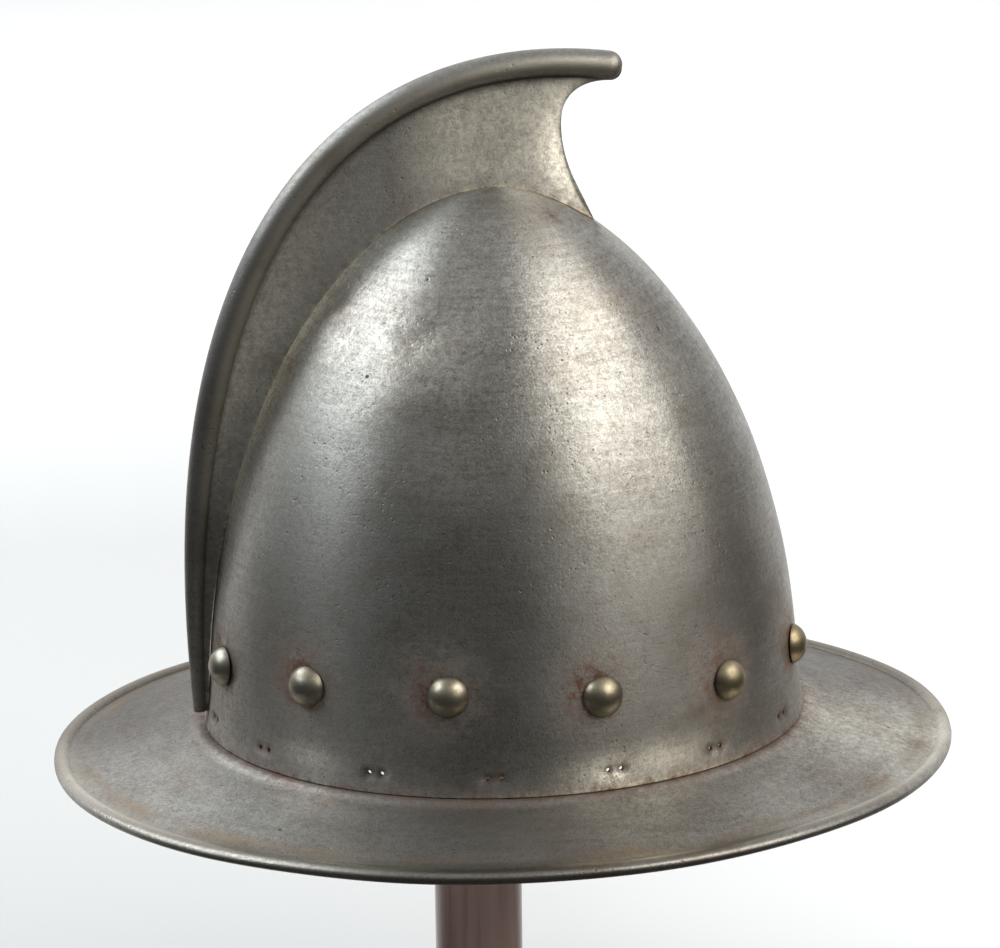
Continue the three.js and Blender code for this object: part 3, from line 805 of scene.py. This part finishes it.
def comb_section(lower, roll_share, flare, seated):
    """Points of one closed section of the comb and what their surface is like."""
    roll_centre = bezier_points(COMB_ROLL_LINE, roll_share)
    roll_out = roll_outward(roll_share)
    roll_radius = comb_roll_radius(roll_share)
    lean = roll_centre - lower
    height = np.linalg.norm(lean)
    lean = lean / height
    up = on_median_plane(lean)

    def at(rise, y):
        rise, y = np.broadcast_arrays(rise, y)
        return np.stack([lower[0] + lean[0] * rise, y, lower[1] + lean[1] * rise], 1)

    def half_at(rises):
        return comb_half_thickness(lower + lean * rises[:, None], flare, rises / height)

    foot_half = half_at(np.zeros(1))[0]
    quarter = np.linspace(0, np.pi / 2, COMB_FOOT_POINTS + 1)[1:]
    foot_y = foot_half * np.sin(quarter)
    crease = at(0.0, np.zeros(1))
    if seated:
        crease = seat_on_skull(crease, up)
        foot = seat_on_skull(at(0.0, foot_y), up)
    else:
        foot = at(COMB_FOOT_ROUNDING * foot_half * (1 - np.cos(quarter)), foot_y)
    grip = math.asin(COMB_HALF_THICKNESS / roll_radius)
    plate_start = COMB_LIP if seated else COMB_PLATE_START * foot_half
    plate_end = height - roll_radius * math.cos(grip) / (lean @ roll_out)
    plate_end = max(plate_end, plate_start + COMB_PLATE_SHORTEST)
    plate_shares = np.linspace(0, 1, COMB_PLATE_POINTS) ** COMB_PLATE_CROWDING
    rises = plate_start + (plate_end - plate_start) * plate_shares
    plate = at(rises, half_at(rises))
    if seated:
        edge_drop = (foot[-1] - at(0.0, foot_y[-1:])[0]) @ up
        plate += up * edge_drop * np.exp(-rises / COMB_SEAT_FADE)[:, None]
    sweep = np.linspace(grip, np.pi, COMB_ROLL_POINTS + 2)[1:]
    roll_line = roll_centre - np.outer(roll_radius * np.cos(sweep), roll_out)
    roll = np.stack([roll_line[:, 0], roll_radius * np.sin(sweep), roll_line[:, 1]], 1)
    side = np.vstack([foot, plate, roll[:-1]])
    mirrored = (side * np.array([1, -1, 1]))[::-1]
    surface = comb_surface(rises, height, plate_end, sweep[:-1], max(roll_out[1], 0.0))
    return np.vstack([crease, side, roll[-1:], mirrored]), surface


def comb_stations():
    """Lower point, share along the roll, flare and seating of each section, from the foot to the beak."""
    front_foot = COMB_FRONT_LINE[0][0] / SKULL_HALF_LENGTH
    last_angle = math.pi - math.acos(front_foot ** (SKULL_TOP_POWER_FRONT / 2))
    first_angle = math.asin((COMB_FOOT_HEIGHT / SKULL_HEIGHT) ** (SKULL_SIDE_POWER / 2))
    full_flare = COMB_FLARE_HALF_WIDTH - COMB_HALF_THICKNESS
    stations = []
    along_seam = np.linspace(0, 1, COMB_SEAM_STATIONS + 1) * (1 - COMB_BOW_SHARE)
    closing = 1 - np.sin(np.linspace(0, np.pi / 2, COMB_BOW_STATIONS + 1)[1:])
    for share in np.concatenate([along_seam, 1 - COMB_BOW_SHARE * closing]):
        lower = median_point(first_angle + (last_angle - first_angle) * share)
        ease = min(share / COMB_FLARE_FULL_SHARE, 1)
        flare = full_flare * ease * ease * (3 - 2 * ease)
        stations.append((lower, COMB_SHARE_OVER_SKULL * share, flare, True))
    for share in np.linspace(0, 1, COMB_EDGE_STATIONS + 1)[1:]:
        flare = full_flare * (1 - share) ** COMB_FLARE_POWER
        roll_share = COMB_SHARE_OVER_SKULL + (1 - COMB_SHARE_OVER_SKULL) * share
        stations.append((bezier_points(COMB_FRONT_LINE, share), roll_share, flare, False))
    return stations


def mark_comb(comb, surface):
    """Gives the comb its rust by place, a painted highlight band and painted shade on and below the roll, and
    painted highlights on the plate.
    """
    foot_and_tip = np.array([[COMB_SEAT_FADE, COMB_SEAT_FADE], [0, 0], [0, 0], [1, 1]])
    seam, roll_highlight, grime, on_roll = np.concatenate([*surface, foot_and_tip], axis=1)
    points = vertices_of(comb)
    along, up = points[:, 0], points[:, 2]
    foot_rust = COMB_FOOT_RUST * bell(up, COMB_FOOT_HEIGHT, COMB_FOOT_RUST_HEIGHT)
    seam_rust = np.exp(-seam / COMB_RUST_DEPTH) * np.interp(along, *COMB_RUST_ALONG)
    # Painted highlight on the plate
    polish = np.interp(along, *COMB_HIGHLIGHT_ALONG) * np.interp(up, *COMB_HIGHLIGHT_UP)
    polish *= np.interp(seam, *COMB_HIGHLIGHT_FROM_SEAM) * (1 - on_roll)
    near_edge = bell(from_front_edge(points[:, [0, 2]]), 0.0, COMB_EDGE_HIGHLIGHT_WIDTH)
    near_edge = near_edge * np.interp(up, *COMB_EDGE_HIGHLIGHT_UP)
    dished = (DISHED_BY_HIGHLIGHT * polish + DISHED_BY_EDGE * near_edge) * (1 - on_roll)
    give_attributes(
        comb,
        seam=bell(seam, 0.0, BRAZE_WIDTH),
        # Painted highlight band on the roll
        worn=roll_highlight * np.interp(up, *ROLL_HIGHLIGHT_UP),
        # Painted shade under the roll and in the crease below it
        grime=grime,
        roll=on_roll,
        # Painted highlights on the plate and by its front edge
        polish=np.minimum(polish + COMB_EDGE_HIGHLIGHT * near_edge, COMB_HIGHLIGHT_MOST),
        rust=np.maximum(seam_rust, foot_rust),
        lean=dished[:, None] * np.array(DISHED_LEAN),
    )


def make_comb():
    rings, surface = [], []
    for lower, roll_share, flare, seated in comb_stations():
        ring, ring_surface = comb_section(lower, roll_share, flare, seated)
        if not seated:
            ring_surface[0] += COMB_SEAT_FADE
        rings.append(ring)
        surface.append(ring_surface)
    foot, short_of_beak, beak = (on_median_plane(p) for p in bezier_points(COMB_ROLL_LINE, [0.0, 0.995, 1.0]))
    ahead = beak - short_of_beak
    ahead /= np.linalg.norm(ahead)
    edge = rings[-1]
    for step in range(1, COMB_TIP_STATIONS):
        angle = step / COMB_TIP_STATIONS * math.pi / 2
        rings.append(beak + ahead * COMB_ROLL_RADIUS_BEAK * math.sin(angle) + (edge - beak) * math.cos(angle))
        surface.append(surface[-1])
    comb = rings_to_mesh("helmet_comb", rings, foot, beak + ahead * COMB_ROLL_RADIUS_BEAK)
    smooth(comb, crease_degrees=42)
    mark_comb(comb, surface)
    return comb


# Rivets


def make_rivet(name, bearing, height, chance):
    sphere = (RIVET_HEAD_RADIUS**2 + RIVET_HEAD_HEIGHT**2) / (2 * RIVET_HEAD_HEIGHT)
    widest = math.asin(min(RIVET_HEAD_RADIUS / sphere, 1))
    tail_top = -SKULL_WALL - SEAT_GAP
    tail_end = tail_top - RIVET_TAIL_HEIGHT
    profile = [(0, tail_end), (RIVET_TAIL_RADIUS - RIVET_TAIL_BEVEL, tail_end)]
    profile += [(RIVET_TAIL_RADIUS, tail_top), (RIVET_SHANK_RADIUS, tail_top), (RIVET_SHANK_RADIUS, SEAT_GAP)]
    profile.append((RIVET_HEAD_RADIUS - RIVET_HEAD_BEVEL, SEAT_GAP))
    profile.append((RIVET_HEAD_RADIUS, SEAT_GAP + RIVET_HEAD_EDGE))
    flat = chance.uniform(0.0, RIVET_FLATTEST)
    for angle in np.linspace(widest, 0, RIVET_DOME_POINTS + 1)[1:]:
        rise = (sphere * math.cos(angle) - sphere + RIVET_HEAD_HEIGHT) * (1 - flat * math.cos(angle))
        profile.append((sphere * math.sin(angle), GAP + rise))
    rivet = turned(name, profile, RIVET_COLUMNS)
    point, around, upward, out = skull_frame(math.radians(bearing), height)
    lean = Matrix.Rotation(math.radians(chance.uniform(-RIVET_MOST_LEAN, RIVET_MOST_LEAN)), 3, Vector(around))
    turn = np.array(lean) @ np.stack([around, upward, out], 1)
    local = vertices_of(rivet)
    placed = to_scene(local @ turn.T + point)
    rivet.data.vertices.foreach_set("co", placed.astype(np.float32).ravel())
    smooth(rivet, crease_degrees=40)
    # Dark line of grime and painted shade where the head meets the skull
    edge = np.exp(-np.clip(local[:, 2], 0, None) / RIVET_GRIME_AND_SHADE_HEIGHT)
    gold = np.full(len(local), 0.5 + 0.5 * math.cos(math.radians(bearing)))
    give_attributes(rivet, edge=edge, gold=gold)
    return rivet


# Stand


def make_post():
    bottom = post_low.z / MM - BASE_LINE
    top = post_high.z / MM - BASE_LINE
    profile = [(0, bottom), (POST_RADIUS - STAND_BEVEL, bottom)]
    heights = np.linspace(bottom + STAND_BEVEL, top - STAND_BEVEL, POST_ROWS)
    profile += [(POST_RADIUS, height) for height in heights]
    profile += [(POST_RADIUS - STAND_BEVEL, top), (0, top)]
    post = turned("wooden_post", profile, STAND_COLUMNS, (POST_X, 0.0))
    smooth(post, crease_degrees=35)
    return post


def make_base():
    socket = POST_RADIUS + GAP
    profile = [(0, 0), (BASE_RADIUS - BASE_FOOT_BEVEL, 0), (BASE_RADIUS, BASE_FOOT_BEVEL)]
    for angle in np.linspace(0, math.pi / 2, BASE_ROUNDING_POINTS):
        inset = BASE_ROUNDING * (1 - math.cos(angle))
        profile.append((BASE_RADIUS - inset, BASE_HEIGHT - BASE_ROUNDING * (1 - math.sin(angle))))
    profile += [(socket + STAND_BEVEL, BASE_HEIGHT), (socket, BASE_HEIGHT - STAND_BEVEL)]
    profile += [(socket, BASE_HEIGHT - SOCKET_DEPTH), (0, BASE_HEIGHT - SOCKET_DEPTH)]
    lowered = [(radius, height - BASE_LINE) for radius, height in profile]
    base = turned("wooden_base", lowered, STAND_COLUMNS, (POST_X, 0.0))
    smooth(base, crease_degrees=35)
    return base


# Materials

STEEL_DARKENING = (0.48, 0.505, 0.555)
STEEL_TINT = (1.12, 1.10, 1.03)
# Gain of the painted highlights
HIGHLIGHT_GAIN = (2.4, 2.35, 2.2, 1.0)
# Worn bright metal on the brim's bead, and the painted highlight band on the comb's roll
WEAR_AND_HIGHLIGHT_STEEL = (0.78, 0.73, 0.61, 1.0)
PATINA_BROWN = (0.22, 0.155, 0.11, 1.0)
PIT_BLACK = (0.035, 0.03, 0.026, 1.0)
RUST_BROWN = (0.15, 0.072, 0.044, 1.0)
STAIN_BROWN = (0.30, 0.21, 0.125, 1.0)
BRAZE_GOLD = (0.80, 0.70, 0.48, 1.0)
PALE_BRASS = (0.44, 0.43, 0.37, 1.0)
GOLDEN_BRASS = (0.47, 0.39, 0.25, 1.0)
TARNISH = (0.20, 0.155, 0.085, 1.0)
HEAD_LINE = (0.06, 0.045, 0.03, 1.0)
WOOD_DARK = (0.24, 0.150, 0.125, 1.0)
WOOD_PALE = (0.43, 0.285, 0.24, 1.0)
WOOD_FIBRE = (0.14, 0.080, 0.064, 1.0)
FLOOR_COOL = (0.86, 0.87, 0.88, 1.0)
FLOOR_PALE = (0.90, 0.905, 0.91, 1.0)
FLOOR_SHADE = (0.61, 0.62, 0.62, 1.0)
# Grime, and painted shade
GRIME_AND_SHADE_BLACK = (0.07, 0.055, 0.045, 1.0)


def connect(tree, node, inputs):
    """Links a node's inputs to other nodes or gives them values."""
    for key, value in inputs.items():
        if isinstance(value, bpy.types.NodeSocket):
            tree.links.new(value, node.inputs[key])
        else:
            node.inputs[key].default_value = value


def add_node(tree, kind, inputs, **settings):
    node = tree.nodes.new(kind)
    for key, value in settings.items():
        setattr(node, key, value)
    connect(tree, node, inputs)
    return node


def new_material(name):
    """A new material with its node tree, its shader and the place on the object."""
    material = bpy.data.materials.new(name)
    material.use_nodes = True
    tree = material.node_tree
    place = add_node(tree, "ShaderNodeTexCoord", {}).outputs["Object"]
    return material, tree, tree.nodes["Principled BSDF"], place


def stretch(tree, vector, scale):
    return add_node(tree, "ShaderNodeMapping", {"Vector": vector, "Scale": scale}).outputs["Vector"]


def noise(tree, vector, scale, detail=3.0, roughness=0.5):
    inputs = {"Vector": vector, "Scale": scale, "Detail": detail, "Roughness": roughness}
    return add_node(tree, "ShaderNodeTexNoise", inputs).outputs["Fac"]


def cells(tree, vector, scale):
    return add_node(tree, "ShaderNodeTexVoronoi", {"Vector": vector, "Scale": scale}).outputs["Distance"]


def attribute(tree, name):
    return add_node(tree, "ShaderNodeAttribute", {}, attribute_name=name).outputs["Fac"]


def remap(tree, value, low, high, to_low=0.0, to_high=1.0):
    inputs = {"Value": value, "From Min": low, "From Max": high, "To Min": to_low, "To Max": to_high}
    return add_node(tree, "ShaderNodeMapRange", inputs).outputs["Result"]


def calculate(tree, operation, first, second=0.0):
    return add_node(tree, "ShaderNodeMath", {0: first, 1: second}, operation=operation).outputs[0]


def times(tree, first, second):
    return calculate(tree, "MULTIPLY", first, second)


def blend(tree, factor, first, second, kind="MIX"):
    inputs = {0: factor, 6: first, 7: second}
    return add_node(tree, "ShaderNodeMix", inputs, data_type="RGBA", blend_type=kind).outputs[2]


def bump(tree, height, distance, strength, normal=None):
    inputs = {"Height": height, "Distance": distance, "Strength": strength}
    if normal is not None:
        inputs["Normal"] = normal
    return add_node(tree, "ShaderNodeBump", inputs).outputs["Normal"]


def spot(tree, place, centre, radius):
    """One at a place on the object that fades to nothing at a radius."""
    inputs = {0: place, 1: tuple(centre)}
    away = add_node(tree, "ShaderNodeVectorMath", inputs, operation="DISTANCE").outputs["Value"]
    return remap(tree, away, radius, radius * 0.4)


def weighted(tree, *terms):
    """Sum of values, each with its weight."""
    total = times(tree, *terms[0])
    for value, weight in terms[1:]:
        total = calculate(tree, "ADD", total, times(tree, value, weight))
    return total


def steel_pits(tree, place, marks):
    """Clusters of small pits, and the larger marks that are given."""
    pitted = remap(tree, cells(tree, place, 420.0), 0.24, 0.08)
    clustered = remap(tree, noise(tree, place, 70.0, 4.0, 0.6), 0.46, 0.66, 0.0, 0.8)
    pits = times(tree, pitted, clustered)
    for centre, radius in marks:
        pits = calculate(tree, "MAXIMUM", pits, spot(tree, place, centre, radius))
    return pits


def steel_colour(tree, place, tone, mottle, pits, rust, light, contrast):
    """Mottled patina with painted highlights, wear and painted highlight bands, grime and painted shade, rust
    and stains where the mesh says.
    """
    dark = tuple(light * (1 - contrast * c) for c in STEEL_DARKENING) + (1.0,)
    bright = tuple(light * c for c in STEEL_TINT) + (1.0,)
    colour = blend(tree, remap(tree, tone, 0.40, 0.60), dark, bright)
    # Painted highlights, with a mottled grain
    highlighted = times(tree, attribute(tree, "polish"), remap(tree, mottle, 0.36, 0.60, 0.72, 1.12))
    colour = blend(tree, highlighted, colour, HIGHLIGHT_GAIN, "MULTIPLY")
    # Worn bright metal and painted highlight bands
    colour = blend(tree, times(tree, attribute(tree, "worn"), 0.75), colour, WEAR_AND_HIGHLIGHT_STEEL)
    # Grime and painted shade
    colour = blend(tree, times(tree, attribute(tree, "grime"), 0.8), colour, GRIME_AND_SHADE_BLACK)
    brown = remap(tree, noise(tree, place, 34.0, 5.0, 0.65), 0.50, 0.72, 0.0, 0.40)
    colour = blend(tree, brown, colour, PATINA_BROWN)
    colour = blend(tree, times(tree, pits, 0.75), colour, PIT_BLACK)
    colour = blend(tree, rust, colour, RUST_BROWN)
    stained = remap(tree, noise(tree, place, 38.0, 4.0), 0.42, 0.66, 0.05, 0.75)
    colour = blend(tree, times(tree, attribute(tree, "stain"), stained), colour, STAIN_BROWN)
    bare = remap(tree, noise(tree, place, 420.0, 4.0, 0.7), 0.40, 0.62)
    return blend(tree, times(tree, attribute(tree, "seam"), bare), colour, BRAZE_GOLD)


def leaning_normal(tree):
    """Surface direction, turned by the lean that the mesh gives."""
    plain = add_node(tree, "ShaderNodeNewGeometry", {}).outputs["Normal"]
    lean = add_node(tree, "ShaderNodeAttribute", {}, attribute_name="lean").outputs["Vector"]
    leaning = add_node(tree, "ShaderNodeVectorMath", {0: plain, 1: lean}, operation="ADD").outputs["Vector"]
    return add_node(tree, "ShaderNodeVectorMath", {0: leaning}, operation="NORMALIZE").outputs["Vector"]


def aged_steel(name, marks, light, contrast, rough, brushed_about, brushed):
    """Old dark steel with fine brushing, pits and rust."""
    material, tree, shader, place = new_material(name)
    patina = noise(tree, place, 26.0, 4.0, 0.6)
    mottle = noise(tree, place, 420.0, 6.0, 0.7)
    speckle = noise(tree, place, 1500.0, 2.0, 0.5)
    brushing = noise(tree, stretch(tree, place, (0.05, 0.05, 1.0)), 900.0, 3.0, 0.6)
    tone = weighted(tree, (patina, 0.24), (mottle, 0.32), (speckle, 0.30), (brushing, 0.14))
    pits = steel_pits(tree, place, marks)
    rust_grain = remap(tree, noise(tree, place, 190.0, 6.0, 0.75), 0.34, 0.60)
    rust = times(tree, times(tree, attribute(tree, "rust"), rust_grain), 0.85)
    gloss = remap(tree, tone, 0.38, 0.62, rough + 0.08, rough - 0.05)
    round_axis = add_node(tree, "ShaderNodeTangent", {}, direction_type="RADIAL", axis=brushed_about)
    relief = weighted(tree, (mottle, 0.6), (speckle, 0.35), (brushing, 0.15), (pits, -0.9), (rust, 0.4))
    inputs = {
        "Base Color": steel_colour(tree, place, tone, mottle, pits, rust, light, contrast),
        "Metallic": calculate(tree, "SUBTRACT", 1.0, times(tree, rust, 0.6)),
        "Roughness": weighted(tree, (gloss, 1.0), (rust, 0.2), (attribute(tree, "roll"), -0.13)),
        "Anisotropic": brushed,
        "Anisotropic Rotation": 0.25,
        "Tangent": round_axis.outputs["Tangent"],
        "Normal": bump(tree, relief, 0.0003, 0.5, leaning_normal(tree)),
    }
    connect(tree, shader, inputs)
    return material


def aged_brass():
    """Dull old brass, paler toward the back of the helmet, with a dark line of grime and painted shade round
    each head where it meets the skull.
    """
    material, tree, shader, place = new_material("aged_brass")
    mottle = noise(tree, place, 240.0, 5.0, 0.6)
    gold = blend(tree, attribute(tree, "gold"), PALE_BRASS, GOLDEN_BRASS)
    tarnish = remap(tree, mottle, 0.42, 0.68, 0.0, 0.55)
    colour = blend(tree, tarnish, gold, TARNISH)
    # Grime and painted shade round the foot of the head
    colour = blend(tree, times(tree, attribute(tree, "edge"), 0.85), colour, HEAD_LINE)
    inputs = {
        "Base Color": colour,
        "Metallic": 1.0,
        "Roughness": remap(tree, mottle, 0.35, 0.65, 0.34, 0.46),
        "Normal": bump(tree, noise(tree, place, 700.0, 3.0), 0.0001, 0.25),
    }
    connect(tree, shader, inputs)
    return material


def dark_wood():
    """Turned hardwood with a dark red-brown stain and a worn satin finish."""
    material, tree, shader, place = new_material("dark_wood")
    fibre = noise(tree, stretch(tree, place, (1.0, 1.0, 0.05)), 260.0, 5.0, 0.6)
    figure = noise(tree, stretch(tree, place, (1.0, 1.0, 0.12)), 40.0, 4.0, 0.55)
    colour = blend(tree, remap(tree, figure, 0.35, 0.68), WOOD_DARK, WOOD_PALE)
    colour = blend(tree, remap(tree, fibre, 0.5, 0.75, 0.0, 0.6), colour, WOOD_FIBRE)
    inputs = {
        "Base Color": colour,
        "Roughness": remap(tree, fibre, 0.3, 0.7, 0.34, 0.48),
        "Coat Weight": 1.0,
        "Coat Roughness": 0.18,
        "Normal": bump(tree, fibre, 0.0004, 0.3),
    }
    connect(tree, shader, inputs)
    return material


def pale_floor():
    material, tree, shader, place = new_material("pale_floor")
    cloud = noise(tree, place, 1.3, 2.0)
    colour = blend(tree, cloud, FLOOR_COOL, FLOOR_PALE)
    parts = add_node(tree, "ShaderNodeSeparateXYZ", {"Vector": place}).outputs
    # Painted shadow: the floor is darker close behind the helmet and to its left
    near = remap(tree, parts["Y"], 1.45, 0.80)
    left = remap(tree, parts["X"], 0.45, 0.05)
    colour = blend(tree, times(tree, near, left), colour, FLOOR_SHADE)
    connect(tree, shader, {"Base Color": colour, "Roughness": 0.85, "Specular IOR Level": 0.1})
    return material


# Object


def paint(piece, material):
    piece.data.materials.clear()
    piece.data.materials.append(material)


def finish_piece(piece, node, material):
    paint(piece, material)
    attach(piece, "root")
    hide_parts(node)


def brim_top(bearing, out):
    """Point on the brim's upper side, a share of the way out from the skull to the roll."""
    half_length = SKULL_HALF_LENGTH + out * (BRIM_HALF_LENGTH - SKULL_HALF_LENGTH)
    angle = math.radians(bearing)
    across = half_length * math.cos(angle)
    along = float(brim_half_width(half_length)) * math.sin(angle)
    return np.array([across, along, -out * BRIM_DROOP])


skull_marks = []
for row in SKULL_MARKS:
    centre = on_skull(math.radians(row["bearing"]), row["height"])
    skull_marks.append((to_scene(centre), row["radius"] * MM))
brim_marks = [(to_scene(brim_top(row["bearing"], row["out"])), row["radius"] * MM) for row in BRIM_PITS]
skull_steel = aged_steel(
    "skull_steel", skull_marks, light=0.58, contrast=1.0, rough=0.38, brushed_about="Z", brushed=0.75
)
brim_steel = aged_steel(
    "brim_steel", brim_marks, light=0.44, contrast=1.0, rough=0.42, brushed_about="Z", brushed=0.3
)
comb_steel = aged_steel(
    "comb_steel", [], light=0.41, contrast=0.6, rough=0.60, brushed_about="Y", brushed=0.3
)
finish_piece(make_skull(), "skull", skull_steel)
finish_piece(make_brim(), "brim", brim_steel)
finish_piece(make_comb(), "comb", comb_steel)

brass = aged_brass()
chance = np.random.RandomState(3)
for number, row in enumerate(both_sides(RIVETS), 1):
    rivet = make_rivet(f"brass_rivet_{number:02d}", row["bearing"], row["height"], chance)
    finish_piece(rivet, f"rivet_{number:02d}", brass)

wood = dark_wood()
finish_piece(make_post(), "stand_post", wood)
finish_piece(make_base(), "stand_base", wood)
head_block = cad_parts["stand_head"]
paint(head_block, wood)


# Floor, light and camera

FLOOR_SIZE = 14.0
FLOOR_DROP = 0.0003
ROOM_GLOW = 0.05
LIGHT_TARGET = Vector((0, 0, 0.25))

bpy.ops.mesh.primitive_plane_add(size=FLOOR_SIZE, location=(0, 0, -FLOOR_DROP))
floor = bpy.context.object
floor.name = "floor"
floor.data.materials.append(pale_floor())
floor.visible_glossy = False


def toward(azimuth, elevation):
    """Direction from the helmet, with azimuth in degrees from the viewer's side toward the beak's side."""
    a, e = math.radians(azimuth), math.radians(elevation)
    return Vector((math.sin(a) * math.cos(e), -math.cos(a) * math.cos(e), math.sin(e)))


def add_light(name, azimuth, elevation, distance, size, colour, radiance, reflected=True):
    """Rectangular soft light that faces the helmet. Its power follows from the radiance of its face."""
    data = bpy.data.lights.new(name, "AREA")
    data.shape = "RECTANGLE"
    data.size, data.size_y = size
    data.color = colour
    data.energy = radiance * math.pi * size[0] * size[1]
    light = bpy.data.objects.new(name, data)
    bpy.context.scene.collection.objects.link(light)
    back = toward(azimuth, elevation)
    light.location = LIGHT_TARGET + back * distance
    light.rotation_mode = "QUATERNION"
    light.rotation_quaternion = back.to_track_quat("Z", "Y")
    light.visible_camera = False
    light.visible_glossy = reflected
    return light


add_light("window_left", -106, 43, 1.6, (1.80, 0.80), (0.90, 0.96, 1.0), 3.35)
add_light("lamp_right", 54, 38, 1.6, (1.40, 1.10), (1.0, 0.96, 0.89), 3.05)
add_light("wall_right", 100, 32, 1.8, (1.00, 1.30), (1.0, 0.95, 0.90), 0.45)
add_light("floor_wash", 165, 50, 3.4, (4.5, 3.0), (1.0, 1.0, 1.0), 2.4, reflected=False)


def make_world():
    """Dim room in front, a paler ceiling and a white backdrop behind."""
    world = bpy.data.worlds.new("studio")
    bpy.context.scene.world = world
    world.use_nodes = True
    tree = world.node_tree
    direction = add_node(tree, "ShaderNodeTexCoord", {}).outputs["Generated"]
    parts = add_node(tree, "ShaderNodeSeparateXYZ", {"Vector": direction}).outputs
    rear = remap(tree, parts["Y"], 0.25, 0.95, 0.0, 0.85)
    ceiling = remap(tree, parts["Z"], 0.35, 0.95, 0.0, 0.42)
    total = weighted(tree, (rear, 1.0), (ceiling, 1.0), (ROOM_GLOW, 1.0))
    connect(tree, tree.nodes["Background"], {"Strength": total, "Color": (1.0, 1.0, 1.0, 1.0)})


make_world()
bpy.context.scene.view_settings.view_transform = "Standard"

CAMERA_AZIMUTH = -8.03
CAMERA_ELEVATION = 16.57
CAMERA_ROLL = -0.8
CAMERA_DISTANCE = 1.4
CAMERA_TARGET = Vector((-0.00056, 0.00009, BASE_LINE * MM + 0.09013))
FOCAL_LENGTH = 135.86
SENSOR_WIDTH = 36.0

camera_data = bpy.data.cameras.new("camera")
camera_data.lens = FOCAL_LENGTH
camera_data.sensor_width = SENSOR_WIDTH
camera = bpy.data.objects.new("camera", camera_data)
bpy.context.scene.collection.objects.link(camera)
bpy.context.scene.camera = camera
camera_back = toward(CAMERA_AZIMUTH, CAMERA_ELEVATION)
camera_right = Vector((0, 0, 1)).cross(camera_back).normalized()
camera_up = camera_back.cross(camera_right)
roll = math.radians(CAMERA_ROLL)
rolled_right = camera_right * math.cos(roll) + camera_up * math.sin(roll)
rolled_up = camera_up * math.cos(roll) - camera_right * math.sin(roll)
pose = Matrix((rolled_right, rolled_up, camera_back)).transposed().to_4x4()
pose.translation = CAMERA_TARGET + camera_back * CAMERA_DISTANCE
camera.matrix_world = pose
